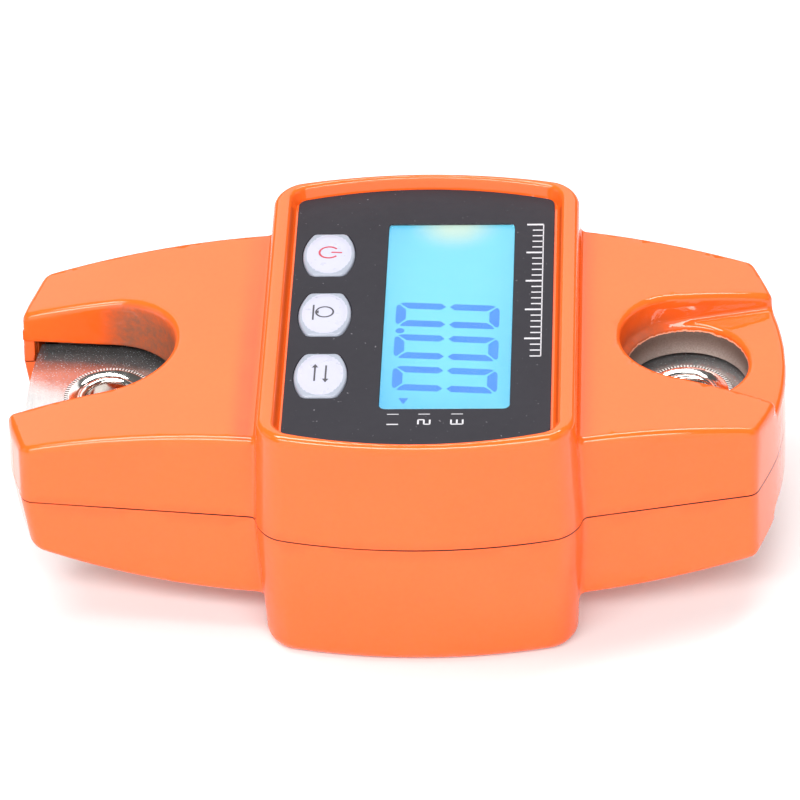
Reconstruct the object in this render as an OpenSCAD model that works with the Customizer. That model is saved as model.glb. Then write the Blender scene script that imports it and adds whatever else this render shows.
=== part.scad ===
// Digital hanging scale: a two-shell housing around a flat load cell with an
// eye at each end, a display and three keys on the front, three cells behind.
// The scale lies on its back with the display up. X runs from the load eye to
// the suspension eye, Z is the thickness. Origin: middle of the footprint on
// the resting face. All sizes are in millimetres.

/* [Housing block] */
// Half width of the centre block along X, at the parting plane
block_hx = 32.7; // [32.2:0.1:33.2]
// Distance from the centre to the middle of the curved long faces
block_hy = 48.1; // [47.8:0.1:48.6]
// Height of the front shell above the parting plane
front_h = 25.8; // [25.5:0.1:26.4]
// Depth of the rear shell below the parting plane
rear_h = 29.1; // [28.8:0.1:29.6]
// Radius of the four upright corners of the block
corner_r = 5.5; // [5:0.5:6.5]
// Thickness of the cast shell walls
wall = 2.5; // [2.2:0.1:2.8]

/* [Wings] */
// Distance from the block centre to the load end
load_end = 83.4; // [83:0.1:84.4]
// Distance from the block centre to the suspension end
hang_end = 73.6; // [73.2:0.1:75]
// Half width of the wings where they meet the block
wing_root = 36.8; // [36:0.1:37.4]
// Height of the wing tops above the parting plane, at the block
wing_top = 18.9; // [18.5:0.1:19.3]
// Depth of the wing undersides below the parting plane, at the block
wing_low = 20; // [19.7:0.1:20.6]

/* [Load cell] */
// Thickness of the load cell plate
cell_t = 8; // [7.6:0.1:8]
// Half width of the load cell plate
cell_hw = 19; // [18:0.1:19.2]
// Radius of the hole for the hook or shackle
eye_r = 5; // [4.5:0.1:5.4]
// Outer radius of the knurled eye flange
flange_r = 9.4; // [9:0.1:9.8]
// Distance from the block centre to the load eye
load_eye = 64.2; // [63.8:0.1:64.6]
// Distance from the block centre to the suspension eye
hang_eye = 53.6; // [53.2:0.1:54]

/* [Display and keys] */
// Thickness of the printed face panel
panel_t = 0.7; // [0.5:0.1:0.8]
// Distance between the keys
key_pitch = 21; // [20.5:0.1:21.5]
// Travel of each key
key_travel = 0.5; // [0.3:0.05:0.5]

/* [Battery] */
// Diameter of one cell
cell_d = 10.5; // [10:0.1:10.5]
// Length of one cell without its button
cell_l = 43.7; // [43:0.1:43.9]

/* [Hidden] */
$fn = 72;
// the block centre on the parting plane, seen from the part's origin
shift_x = (load_end - hang_end) / 2;
e = 0.01;
// curved long faces of the block
sag = 4.9;
arc_r = (block_hx * block_hx + sag * sag) / (2 * sag);
arc_c = block_hy - arc_r;
// insets of the block's outline with height: draft, then a rounded edge
// half profiles of the block: height, inset of the short sides, of the long faces and of the corners
front_prof = [[0, 0, 0.5, 0], [front_h - 1.7, 1.1, 0, 0], [front_h - 0.8, 1.35, 0.2, 0.3],
              [front_h - 0.3, 1.8, 0.6, 0.7], [front_h, 2.6, 1.4, 1.5]];
rear_prof = [[0, 0, 0.5, 0], [rear_h - 2.8, 1.1, 1.4, 0], [rear_h - 1.4, 1.5, 1.8, 0.5],
             [rear_h - 0.5, 2.2, 2.5, 1.2], [rear_h, 3.4, 3.7, 2.4]];
// levels
front_wall_in = 20.4;             // inside of the front wall
panel_seat = 22.9;                // bottom of the panel recess
cell_top = 3;                     // top face of the load cell
cell_low = cell_top - cell_t;
cell_mid = (cell_top + cell_low) / 2;
board_z = 12;
board_t = 1.6;
// slot and hole in the wings
end_sag = pow(cell_hw + 0.9, 2) / 500;
slot_r = 15.2;
slot_x = -65.1;
hole_r = 12.4;
ledge_top = 11.6;
ledge_low = -12.6;
wall_low = 5.5;                   // lower edge of the slot and hole walls
// screws
block_bosses = [[25.4, 36.6], [25.4, -36.6], [-25.4, 36.6], [-25.4, -36.6]];
wing_bosses = [[46.5, 25.2], [46.5, -25.2], [-45.5, 26], [-45.5, -26]];
board_bosses = [[16, 37.4], [16, -37.4], [-16, 37.4], [-16, -37.4]];
cell_bosses = [[36.5, 12], [36.5, -12]];
// display
win_x0 = -7.5; win_x1 = 18.4; win_hy = 32.2;
lcd_cx = (win_x0 + win_x1) / 2;
key_x = -19.5;
// battery bay
bay_hx = 18.4; bay_hy = 26.4;
bay = 26.9 - rear_h;                // the battery bay sits against the back wall
bat_z = bay - 18.4;
door_hx = 19.6; door_low = -(rear_h - 0.3); door_t = 2;
door_y0 = -28.6; door_y1 = 27.8;

module place() { translate([shift_x, 0, rear_h]) children(); }
module box(x0, x1, y0, y1, z0, z1) { translate([x0, y0, z0]) cube([x1 - x0, y1 - y0, z1 - z0]); }

// ---------- outer forms ----------
// an upright solid of the block with profile p
module block_half(p, grow = 0) {
  n = len(p);
  intersection() {
    rotate([90, 0, 0]) translate([0, 0, -60]) linear_extrude(120)
      polygon(concat([for (q = p) [block_hx - grow - q[1], q[0]]],
                     [for (i = [n - 1:-1:0]) [-(block_hx - grow - p[i][1]), p[i][0]]]));
    translate([0, arc_c, 0]) rotate_extrude($fn = 160)
      polygon(concat([[0, 0]], [for (q = p) [arc_r - grow - q[2], q[0]]], [[0, p[n - 1][0]]]));
    translate([0, -arc_c, 0]) rotate_extrude($fn = 160)
      polygon(concat([[0, 0]], [for (q = p) [arc_r - grow - q[2], q[0]]], [[0, p[n - 1][0]]]));
  }
}
// what is cut off one upright corner
module corner_cut(p, grow = 0) {
  n = len(p);
  cx = block_hx - corner_r;
  cy = arc_c + sqrt(pow(arc_r - corner_r, 2) - cx * cx);
  a = atan2(cy - arc_c, cx);
  difference() {
    translate([cx, cy, -1]) linear_extrude(p[n - 1][0] + 2)
      polygon([[0, 0], [20, 0], [20, 20], [20 * cos(a), 20 * sin(a)]]);
    translate([cx, cy, 0]) rotate_extrude()
      polygon(concat([[0, -1.5], [corner_r - grow, -1.5]], [for (q = p) [corner_r - grow - q[3], q[0]]], [[0, p[n - 1][0]]]));
  }
}
module block_solid(p, grow = 0) {
  difference() {
    block_half(p, grow);
    corner_cut(p, grow);
    mirror([1, 0, 0]) corner_cut(p, grow);
    mirror([0, 1, 0]) corner_cut(p, grow);
    mirror([1, 0, 0]) mirror([0, 1, 0]) corner_cut(p, grow);
  }
}
// plan of a wing, ins is the wall taken off all round
module hang_plan(ins) {
  k = 0.2116;
  polygon([[20, wing_root + 0.3 + 12.7 * k - ins], [65.4 - ins * 0.6, wing_root + 0.3 - 32.7 * k - ins],
           [67.6 - ins, wing_root - 8 - ins * 0.4], [72.1 - ins, 18.2], [90, 12], [90, -12], [72.1 - ins, -18.2],
           [67.6 - ins, -(wing_root - 8 - ins * 0.4)], [65.4 - ins * 0.6, -(wing_root + 0.3 - 32.7 * k - ins)],
           [20, -(wing_root + 0.3 + 12.7 * k - ins)]]);
}
module load_plan(ins) {
  k = 0.115;
  polygon([[-20, wing_root - 0.5 + 12.7 * k - ins], [-77.6 + ins * 0.6, wing_root - 0.5 - 44.9 * k - ins],
           [-80.1 + ins, wing_root - 7.1 - ins * 0.4], [-84.0 + ins, 17], [-90, 12], [-90, -12], [-84.0 + ins, -17],
           [-80.1 + ins, -(wing_root - 7.1 - ins * 0.4)], [-77.6 + ins * 0.6, -(wing_root - 0.5 - 44.9 * k - ins)],
           [-20, -(wing_root - 0.5 + 12.7 * k - ins)]]);
}
// top = 1 for the front shell, -1 for the rear; s = 1 suspension side, -1 load side
module wing(s, top, ins = 0) {
  r = top > 0 ? 180 : s > 0 ? 165 : 140;
  h = top > 0 ? wing_top : wing_low;
  intersection() {
    translate([0, 0, top > 0 ? 0 : -30]) linear_extrude(30) if (s > 0) hang_plan(ins); else load_plan(ins);
    translate([s * block_hx, 60, top * (h - r)]) rotate([90, 0, 0]) cylinder(r = r - ins, h = 120, $fn = 160);
    if (s > 0)
      translate([hang_end - 77.9, 0, 0]) mirror([0, 0, top > 0 ? 0 : 1])
        cylinder(r1 = 77.9 - ins, r2 = 77.9 - ins - 0.6, h = 22, $fn = 160);
    else
      translate([-load_end - end_sag + 250, 0, 0]) mirror([0, 0, top > 0 ? 0 : 1])
        cylinder(r1 = 250 - ins, r2 = 250 - ins - (top > 0 ? 0.7 : 2.8), h = 22, $fn = 200);
  }
}
// U slot round the load eye, open at the end; g grows it
module slot_plan(g = 0) {
  a = 5;
  x0 = slot_x - (slot_r + g) * sin(a);
  y0 = (slot_r + g) * cos(a);
  y1 = y0 + (x0 + 95) * tan(a);
  translate([slot_x, 0]) circle(slot_r + g);
  polygon([[slot_x, y0], [x0, y0], [-95, y1], [-95, -y1], [x0, -y0], [slot_x, -y0]]);
}
// fan-shaped recess that runs from the suspension eye out through the end
module fan_plan(g = 0) {
  r = 13.9 + g;
  a = 13;
  x0 = hang_eye + r * sin(a);
  y0 = r * cos(a);
  y1 = y0 + (95 - x0) * tan(a);
  translate([hang_eye, 0]) circle(r);
  polygon([[hang_eye, y0], [x0, y0], [95, y1], [95, -y1], [x0, -y0], [hang_eye, -y0]]);
}
module panel_plan(ins = 0) {
  s = 4.2; c = 26.65; r = (c * c + s * s) / (2 * s);
  intersection() {
    translate([-c + ins, -60]) square([2 * (c - ins), 120]);
    translate([0, 44.9 - r]) circle(r - ins, $fn = 160);
    translate([0, -(44.9 - r)]) circle(r - ins, $fn = 160);
  }
}
// barrel outline of a key, g grows it
module key_plan(g = 0) {
  intersection() {
    translate([9.25, 0]) circle(14.6 + g, $fn = 96);
    translate([-9.25, 0]) circle(14.6 + g, $fn = 96);
    translate([-10, -7.4 - g]) square([20, 14.8 + 2 * g]);
  }
}
module at_keys() { for (j = [-1, 0, 1]) translate([key_x, j * key_pitch, 0]) children(); }

// ---------- shells ----------
module front_housing() color([0.97, 0.42, 0.16]) place() {
  cav = [[-e, 0.55], [front_wall_in, 1.2]];
  difference() {
    union() {
      difference() {
        union() {
          block_solid(front_prof);
          wing(1, 1);
          wing(-1, 1);
        }
        // hollow of the block and of the wings
        block_solid([[0, 0.5, 0.5, 0.3], [front_wall_in, 1.2, 0.2, 0.3]], wall);
        difference() { translate([0, 0, -e]) wing(1, 1, wall); box(-10, 25, -50, 50, -1, 40); }
        difference() { translate([0, 0, -e]) wing(-1, 1, wall); box(-25, 10, -50, 50, -1, 40); }
      }
      // wall round the slot, and ledge and wall round the hole
      intersection() {
        wing(-1, 1);
        translate([0, 0, wall_low]) linear_extrude(30) slot_plan(2.4);
      }
      intersection() {
        wing(1, 1);
        union() {
          translate([0, 0, ledge_top - 2.4]) linear_extrude(30) fan_plan(2.4);
          translate([hang_eye, 0, cell_top + 1.5]) cylinder(r = hole_r + 2.3, h = 20);
        }
      }
      // bosses for the rear screws and for the board
      for (p = block_bosses) translate([p[0], p[1], 0]) cylinder(r = 3.8, h = front_wall_in + 0.5);
      for (p = wing_bosses) translate([p[0], p[1], 0]) cylinder(r = 3.6, h = 17);
      for (p = board_bosses) translate([p[0], p[1], board_z + board_t]) cylinder(r = 2.8, h = front_wall_in + 0.5 - board_z - board_t);
    }
    // recess of the face panel, display opening and key openings
    translate([0, 0, panel_seat]) linear_extrude(10) panel_plan(-0.45);
    box(win_x0 - 1, win_x1 + 1, -win_hy - 1, win_hy + 1, front_wall_in - 3, 30);
    at_keys() translate([0, 0, front_wall_in - 3]) linear_extrude(10) key_plan(0.3);
    // slot, recess and hole
    translate([0, 0, -1]) linear_extrude(40) slot_plan();
    translate([0, 0, ledge_top]) linear_extrude(40) fan_plan();
    translate([hang_eye, 0, -1]) cylinder(r = hole_r, h = 40);
    // opening for the load cell in the load end
    box(-80.9, -76, -(cell_hw + 0.9), cell_hw + 0.9, -1, wall_low);
    box(-90, -80.7, -17.2, 17.2, -1, wall_low);
    // screw holes
    for (p = block_bosses) translate([p[0], p[1], -1]) cylinder(r = 1.52, h = 15);
    for (p = wing_bosses) translate([p[0], p[1], -1]) cylinder(r = 1.52, h = 11);
    for (p = board_bosses) translate([p[0], p[1], board_z]) cylinder(r = 1.27, h = 7.6);
  }
}

module rear_housing() color([0.95, 0.40, 0.15]) place() {
  cw = rear_h - wall;
  difference() {
    union() {
      difference() {
        union() {
          mirror([0, 0, 1]) block_solid(rear_prof);
          wing(1, -1);
          wing(-1, -1);
        }
        mirror([0, 0, 1]) block_solid([[0, 0.5, 0.5, 0.3], [cw, 1.2, 1.4, 0.3]], wall);
        difference() { translate([0, 0, e]) wing(1, -1, wall); box(-10, 25, -50, 50, -40, 1); }
        difference() { translate([0, 0, e]) wing(-1, -1, wall); box(-25, 10, -50, 50, -40, 1); }
      }
      intersection() {
        wing(-1, -1);
        translate([0, 0, -37.5]) linear_extrude(30) slot_plan(2.4);
      }
      intersection() {
        wing(1, -1);
        union() {
          translate([0, 0, ledge_low + 2.4 - 30]) linear_extrude(30) fan_plan(2.4);
          translate([hang_eye, 0, -26.5]) cylinder(r = hole_r + 2.3, h = 20);
        }
      }
      for (p = block_bosses) translate([p[0], p[1], -(cw + 0.5)]) cylinder(r = 3.8, h = cw + 0.5);
      for (p = wing_bosses) intersection() {
        wing(p[0] > 0 ? 1 : -1, -1);
        translate([p[0], p[1], -22]) cylinder(r = 4.2, h = 22);
      }
      // load cell seats
      for (p = cell_bosses) intersection() {
        union() { wing(1, -1); box(25, 34, -20, 20, -20, 0); }
        translate([p[0], p[1], -21]) cylinder(r = 5, h = 21 + cell_low);
      }
      // posts that carry the battery tray
      for (y = [-1, 1]) translate([0, y * 31.6, -(cw + 0.5)]) cylinder(r = 3, h = cw + 0.5 - 16 + bay);
    }
    // battery opening with its hinge seats
    box(-door_hx - 0.3, door_hx + 0.3, door_y0 - 0.3, door_y1 + 1.3, -30, -cw + 1);
    translate([0, door_y1, door_low + door_t / 2]) rotate([0, 90, 0])
      translate([0, 0, -21.4]) cylinder(r = 0.88, h = 42.8, $fn = 32);
    // slot, recess and hole
    translate([0, 0, -39]) linear_extrude(40) slot_plan();
    translate([0, 0, ledge_low - 40]) linear_extrude(40) fan_plan();
    translate([hang_eye, 0, -39]) cylinder(r = hole_r, h = 40);
    box(-80.9, -76, -(cell_hw + 0.9), cell_hw + 0.9, -7.5, 1);
    box(-90, -80.7, -17.2, 17.2, -7.5, 1);
    // housing screws: clearance hole and head recess
    for (p = block_bosses) translate([p[0], p[1], -30]) {
      cylinder(r = 1.7, h = 31);
      cylinder(r = 3, h = 30 - rear_h + 9);
    }
    for (p = wing_bosses) translate([p[0], p[1], -30]) {
      cylinder(r = 1.7, h = 31);
      cylinder(r = 3, h = 14.5);
    }
    for (p = cell_bosses) translate([p[0], p[1], cell_low - 12]) cylinder(r = 2.02, h = 14);
    for (y = [-1, 1]) translate([0, y * 31.6, bay - 23]) cylinder(r = 1.02, h = 10);
  }
}

module housing_screw(len_mm, head_z) {
  translate([0, 0, head_z]) {
    difference() {
      union() { cylinder(r = 2.75, h = 1.6); translate([0, 0, 1.6]) cylinder(r1 = 2.75, r2 = 1.5, h = 0.4); }
      for (a = [0, 90]) rotate(a) translate([-1.6, -0.35, -e]) cube([3.2, 0.7, 1.1]);
    }
    cylinder(r = 1.5, h = len_mm);
  }
}
module housing_screws() color([0.62, 0.62, 0.64]) place() {
  for (p = block_bosses) translate([p[0], p[1], 0]) housing_screw(29, -(rear_h - 7));
  for (p = wing_bosses) translate([p[0], p[1], 0]) housing_screw(24, -17.5);
}

// ---------- face ----------
module face_panel() color([0.27, 0.26, 0.28]) place()
  translate([0, 0, panel_seat]) difference() {
    linear_extrude(panel_t) difference() {
      panel_plan(0.12);
      translate([win_x0, -win_hy]) square([win_x1 - win_x0, 2 * win_hy]);
      at_keys2() key_plan(0.12);
    }
  }
module at_keys2() { for (j = [-1, 0, 1]) translate([key_x, j * key_pitch]) children(); }
module display_window() color([0.75, 0.93, 1, 0.5]) place()
  box(win_x0 + 0.08, win_x1 - 0.08, -win_hy + 0.08, win_hy - 0.08, panel_seat, panel_seat + panel_t - 0.05);

// one key: domed cap, collar that retains it, and a foot above the switch
module key_cap() {
  top = panel_seat + panel_t + 0.75;
  intersection() {
    translate([0, 0, front_wall_in - 0.2]) linear_extrude(10) key_plan(0);
    translate([0, 0, top - 60]) sphere(r = 60, $fn = 128);
  }
  translate([0, 0, front_wall_in - 1.3]) linear_extrude(1.15) key_plan(0.75);
  translate([0, 0, board_z + board_t + 4.3]) cylinder(r = 2, h = front_wall_in - 1.2 - (board_z + board_t + 4.3), $fn = 32);
}
module power_button() color([0.9, 0.9, 0.94]) place() translate([key_x, key_pitch, 0]) key_cap();
module tare_button() color([0.9, 0.9, 0.94]) place() translate([key_x, 0, 0]) key_cap();
module unit_button() color([0.9, 0.9, 0.94]) place() translate([key_x, -key_pitch, 0]) key_cap();

// tact switches: moving plunger, and fixed body with a clear well under it
module plunger() {
  translate([0, 0, board_z + board_t + 2.6]) cylinder(r = 1.7, h = 1.7, $fn = 32);
}
module power_switch_plunger() color([0.12, 0.12, 0.12]) place() translate([key_x, key_pitch, 0]) plunger();
module tare_switch_plunger() color([0.12, 0.12, 0.12]) place() translate([key_x, 0, 0]) plunger();
module unit_switch_plunger() color([0.12, 0.12, 0.12]) place() translate([key_x, -key_pitch, 0]) plunger();
module switch_bodies() color([0.2, 0.2, 0.21]) place() at_keys() translate([0, 0, board_z + board_t]) difference() {
  union() {
    translate([-3, -3, 0]) cube([6, 6, 3.3]);
    for (s = [-1, 1]) translate([s * 3.3 - 0.5, -2.6, 0]) cube([1, 0.8, 1.4]);
    for (s = [-1, 1]) translate([s * 3.3 - 0.5, 1.8, 0]) cube([1, 0.8, 1.4]);
  }
  translate([0, 0, 1.8]) cylinder(r = 1.78, h = 3, $fn = 32);
}

// ---------- display stack ----------
module lcd_glass() color([0.62, 0.84, 0.9, 0.8]) place()
  box(win_x0 - 0.6, win_x1 + 0.6, -win_hy - 0.6, win_hy + 0.6, 20.2, 22.7);
module lcd_backlight() color([0.85, 0.95, 1]) place()
  box(win_x0 - 0.4, win_x1 + 0.4, -win_hy + 0.4, win_hy - 2.4, 17.2, 20.1);
module lcd_frame() color([0.92, 0.92, 0.9]) place() difference() {
  box(win_x0 - 2.6, win_x1 + 2.6, -win_hy - 2.2, win_hy + 2.2, board_z + board_t + 0.05, 20.1);
  box(win_x0 - 0.5, win_x1 + 0.5, -win_hy - 0.2, win_hy + 0.2, 17.15, 21);
  box(win_x0 + 2, win_x1 - 2, -win_hy + 4, win_hy - 4, board_z, 21);
  box(lcd_cx - 12, lcd_cx + 12, -win_hy - 1.1, -win_hy - 0.1, board_z, 21);
}
module lcd_pins() color([0.8, 0.75, 0.6]) place()
  for (i = [0:11]) {
    x = lcd_cx - 11 + i * 2;
    box(x - 0.2, x + 0.2, -win_hy - 0.9, -win_hy - 0.6, board_z + board_t - 1.8, 21.2);
  }
module backlight_leds() color([1, 0.97, 0.75]) place()
  for (i = [-1, 0, 1]) box(lcd_cx + i * 6 - 1.5, lcd_cx + i * 6 + 1.5, win_hy - 1.9, win_hy - 0.9, 17.5, 19.7);
module display_gasket() color([0.1, 0.1, 0.1]) place() difference() {
  box(win_x0 - 2.6, win_x1 + 2.6, -win_hy - 2.2, win_hy + 2.2, 20.1, front_wall_in);
  box(win_x0 - 1, win_x1 + 1, -win_hy - 1, win_hy + 1, 20, front_wall_in + 1);
}

// ---------- board ----------
module main_board() color([0.1, 0.36, 0.18]) place() difference() {
  union() {
    box(-27.6, 27.6, -31, 31, board_z, board_z + board_t);
    box(-20.2, 20.2, -41, 41, board_z, board_z + board_t);
  }
  for (p = board_bosses) translate([p[0], p[1], board_z - 1]) cylinder(r = 1.4, h = 4, $fn = 32);
  // slot for the display pins
  for (i = [0:11]) translate([lcd_cx - 11 + i * 2, -win_hy - 0.75, board_z - 1]) cylinder(r = 0.4, h = 4, $fn = 24);
}
module board_screws() color([0.7, 0.7, 0.72]) place()
  for (p = board_bosses) translate([p[0], p[1], board_z]) {
    translate([0, 0, -1.4]) difference() {
      cylinder(r = 2.3, h = 1.4, $fn = 48);
      for (a = [0, 90]) rotate(a) translate([-1.3, -0.3, -e]) cube([2.6, 0.6, 0.9]);
    }
    cylinder(r = 1.25, h = 7, $fn = 32);
  }
module controller_chip() color([0.07, 0.07, 0.08]) place()
  intersection() {
    translate([4, 4, board_z - 9]) sphere(r = 9.6, $fn = 64);
    box(-10, 20, -12, 20, board_z - 2.2 + 0, board_z);
    mirror([0, 0, 0]) translate([4, 4, board_z - 3]) cylinder(r = 8, h = 3);
  }
module soic(n, w) {
  cube([w, 4, 1.6], center = true);
  for (i = [0:n - 1], s = [-1, 1])
    translate([-w / 2 + (i + 0.5) * w / n, s * 2.4, 0.45]) cube([0.4, 1.2, 0.7], center = true);
}
module converter_chip() color([0.1, 0.1, 0.1]) place() translate([-14, -24, board_z - 0.8]) soic(8, 10);
module crystal() color([0.78, 0.78, 0.8]) place() translate([-4, -26, board_z - 1.9]) rotate([0, 90, 0]) {
  intersection() { translate([0, 0, -4]) cylinder(r = 1.9, h = 8, $fn = 32); }
}
module capacitors() color([0.2, 0.25, 0.45]) place() {
  for (p = [[-20, 26], [-12, 27]]) translate([p[0], p[1], board_z - 5]) cylinder(r = 2.5, h = 5, $fn = 32);
  for (i = [0:3]) box(6 + i * 4, 8 + i * 4, -24.6, -23.4, board_z - 0.9, board_z);
}

// ---------- load cell ----------
module load_cell() color([0.66, 0.65, 0.65]) place() difference() {
  intersection() {
    union() {
      box(-84, hang_eye + 15.5 - 8, -cell_hw, cell_hw, cell_low, cell_top);
      box(0, hang_eye + 15.5, -cell_hw + 8, cell_hw - 8, cell_low, cell_top);
      for (s = [-1, 1]) translate([hang_eye + 7.5, s * (cell_hw - 8), cell_low]) cylinder(r = 8, h = cell_t);
    }
    translate([-load_end + 2.1 + 110, 0, cell_low - 1]) cylinder(r = 110, h = cell_t + 2, $fn = 200);
    box(-84, 80, -30, 30, cell_low, cell_top);
  }
  for (x = [-load_eye, hang_eye]) translate([x, 0, cell_low - 1]) cylinder(r = 7.52, h = cell_t + 2);
  // two cuts from opposite sides and the thinned middle make the bending beam
  box(8, 11, -10, 30, cell_low - 1, cell_top + 1);
  box(-11, -8, -30, 10, cell_low - 1, cell_top + 1);
  translate([9.5, -10, cell_low - 1]) cylinder(r = 1.5, h = cell_t + 2, $fn = 32);
  translate([-9.5, 10, cell_low - 1]) cylinder(r = 1.5, h = cell_t + 2, $fn = 32);
  translate([0, 0, cell_low - 1]) cylinder(r = 6.3, h = cell_t + 2);
  // counterbored fixing holes
  for (p = cell_bosses) translate([p[0], p[1], cell_low - 1]) {
    cylinder(r = 2.25, h = cell_t + 2);
    translate([0, 0, 1 + cell_t - 4.2]) cylinder(r = 3.8, h = 6);
  }
}
module load_cell_screws() color([0.3, 0.3, 0.32]) place()
  for (p = cell_bosses) translate([p[0], p[1], cell_top - 4.2]) {
    difference() {
      cylinder(r = 3.5, h = 4);
      translate([0, 0, 2]) cylinder(r = 1.73, h = 3, $fn = 6);
    }
    translate([0, 0, -13]) cylinder(r = 2, h = 13);
  }
module strain_gauges() color([0.85, 0.55, 0.2]) place()
  for (y = [-3.4, 3.4]) {
    box(8, 8.12, y - 2.6, y + 2.6, cell_mid - 2, cell_mid + 2);
    box(-8.12, -8, y - 2.6, y + 2.6, cell_mid - 2, cell_mid + 2);
  }
module gauge_coating() color([0.93, 0.93, 0.9]) place() {
  difference() {
    box(8, 9.2, -7.6, 7.6, cell_low + 0.6, cell_top - 0.6);
    for (y = [-3.4, 3.4]) box(7, 8.12, y - 2.6, y + 2.6, cell_mid - 2, cell_mid + 2);
  }
  difference() {
    box(-9.2, -8, -7.6, 7.6, cell_low + 0.6, cell_top - 0.6);
    for (y = [-3.4, 3.4]) box(-8.12, -7, y - 2.6, y + 2.6, cell_mid - 2, cell_mid + 2);
  }
}
// flanged bushing half, flange on the plate, sleeve down to the middle of the plate
module bushing() {
  rotate_extrude()
    polygon([[eye_r, -cell_t / 2], [7.5, -cell_t / 2], [7.5, 0], [flange_r, 0], [flange_r, 0.55],
             [flange_r - 0.5, 0.95], [flange_r - 2.4, 0.75], [flange_r - 2.9, 0.45], [flange_r - 3.2, 0.75],
             [flange_r - 3.6, 0.95], [eye_r + 0.45, 0.9], [eye_r, 0.5]]);
}
module eye_front(x) { translate([x, 0, cell_top]) bushing(); }
module eye_back(x) { translate([x, 0, cell_low]) mirror([0, 0, 1]) bushing(); }
module upper_eye_bushing_front() color([0.82, 0.8, 0.78]) place() eye_front(hang_eye);
module upper_eye_bushing_back() color([0.82, 0.8, 0.78]) place() eye_back(hang_eye);
module lower_eye_bushing_front() color([0.82, 0.8, 0.78]) place() eye_front(-load_eye);
module lower_eye_bushing_back() color([0.82, 0.8, 0.78]) place() eye_back(-load_eye);

// ---------- battery ----------
module battery_tray() color([0.13, 0.13, 0.14]) place() difference() {
  union() {
    box(-bay_hx, bay_hx, -bay_hy, bay_hy, bay - 24.2, bay - 11.2);
    for (s = [-1, 1]) box(-4.5, 4.5, s > 0 ? bay_hy - 1 : -35, s > 0 ? 35 : -bay_hy + 1, bay - 16, bay - 14.2);
  }
  box(-bay_hx + 1.2, bay_hx - 1.2, -bay_hy + 1.2, bay_hy - 1.2, bay - 30, bay - 12.6);
  for (y = [-1, 1]) translate([0, y * 31.6, bay - 17]) cylinder(r = 1.2, h = 4, $fn = 32);
}
module battery_cells() color([0.25, 0.45, 0.3]) place()
  for (i = [-1, 0, 1]) translate([i * 11.2, 0, bat_z]) rotate([i == 0 ? -90 : 90, 0, 0]) translate([0, 0, -cell_l / 2]) {
    cylinder(r = cell_d / 2, h = cell_l, $fn = 48);
    translate([0, 0, cell_l]) cylinder(r = 1.9, h = 0.8, $fn = 32);
  }
module coil() {
  for (i = [0:3]) translate([0, 0, i * 0.6 + 0.35]) rotate_extrude($fn = 48) translate([3.4 - i * 0.35, 0]) circle(r = 0.35, $fn = 16);
  translate([-4.2, -4.2, -0.4]) cube([8.4, 8.4, 0.5]);
}
module battery_spring_contacts() color([0.8, 0.8, 0.82]) place()
  for (i = [-1, 0, 1]) translate([i * 11.2, (i == 0 ? -1 : 1) * (bay_hy - 1.2 - 0.41), bat_z]) rotate([i == 0 ? -90 : 90, 0, 0]) coil();
module battery_plate_contacts() color([0.8, 0.8, 0.82]) place()
  for (i = [-1, 0, 1]) {
    s = i == 0 ? 1 : -1;
    y = s * (cell_l / 2 + 0.8);
    box(i * 11.2 - 4.2, i * 11.2 + 4.2, s > 0 ? y : y - 0.5, s > 0 ? y + 0.5 : y, bat_z - 4, bat_z + 4);
    box(i * 11.2 - 1.5, i * 11.2 + 1.5, s > 0 ? y + 0.5 : -bay_hy + 1.2, s > 0 ? bay_hy - 1.2 : y - 0.5, bat_z + 2, bat_z + 4);
  }
module wire(p, r) {
  for (i = [0:len(p) - 2]) {
    a = p[i]; d = p[i + 1] - a; l = norm(d);
    translate(a) rotate([0, acos(d[2] / l), atan2(d[1], d[0])]) cylinder(r = r, h = l, $fn = 24);
  }
  for (i = [1:len(p) - 2]) translate(p[i]) sphere(r = r + 0.08, $fn = 24);
}
// a lead that rises from the tray, steps out round the load cell and ends on the board
module lead(x, r) {
  b = 3;
  translate([x, -22.2, bay - 11.2]) cylinder(r = r, h = 3.2 - bay, $fn = 24);
  translate([x, -22.2 - b, -8]) rotate([90, 0, 90]) rotate_extrude(angle = 90, $fn = 48) translate([b, 0]) circle(r, $fn = 24);
  translate([x, -22.2 - b, -8 + b]) rotate([90, 0, 0]) cylinder(r = r, h = 1.6, $fn = 24);
  translate([x, -22.2 - b - 1.6, -8 + 2 * b]) rotate([90, 180, 90]) rotate_extrude(angle = 90, $fn = 48) translate([b, 0]) circle(r, $fn = 24);
  translate([x, -22.2 - 2 * b - 1.6, -8 + 2 * b]) cylinder(r = r, h = board_z + 8 - 2 * b, $fn = 24);
}
module battery_leads() color([0.75, 0.1, 0.1]) place() {
  for (x = [-13, -10.5]) lead(x, 0.6);
}
module load_cell_cable() color([0.9, 0.9, 0.92]) place()
  wire([[10, 6, cell_top - 0.6], [10, 6, 6], [14, 12, 8], [14, 20, 9.4], [14, 20, board_z]], 0.8);
module tray_screws() color([0.7, 0.7, 0.72]) place()
  for (y = [-1, 1]) translate([0, y * 31.6, bay - 14.2]) {
    difference() {
      cylinder(r = 2, h = 1.4, $fn = 48);
      for (a = [0, 90]) rotate(a) translate([-1.2, -0.3, 0.6]) cube([2.4, 0.6, 1]);
    }
    translate([0, 0, -6]) cylinder(r = 1, h = 6, $fn = 32);
  }
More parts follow.
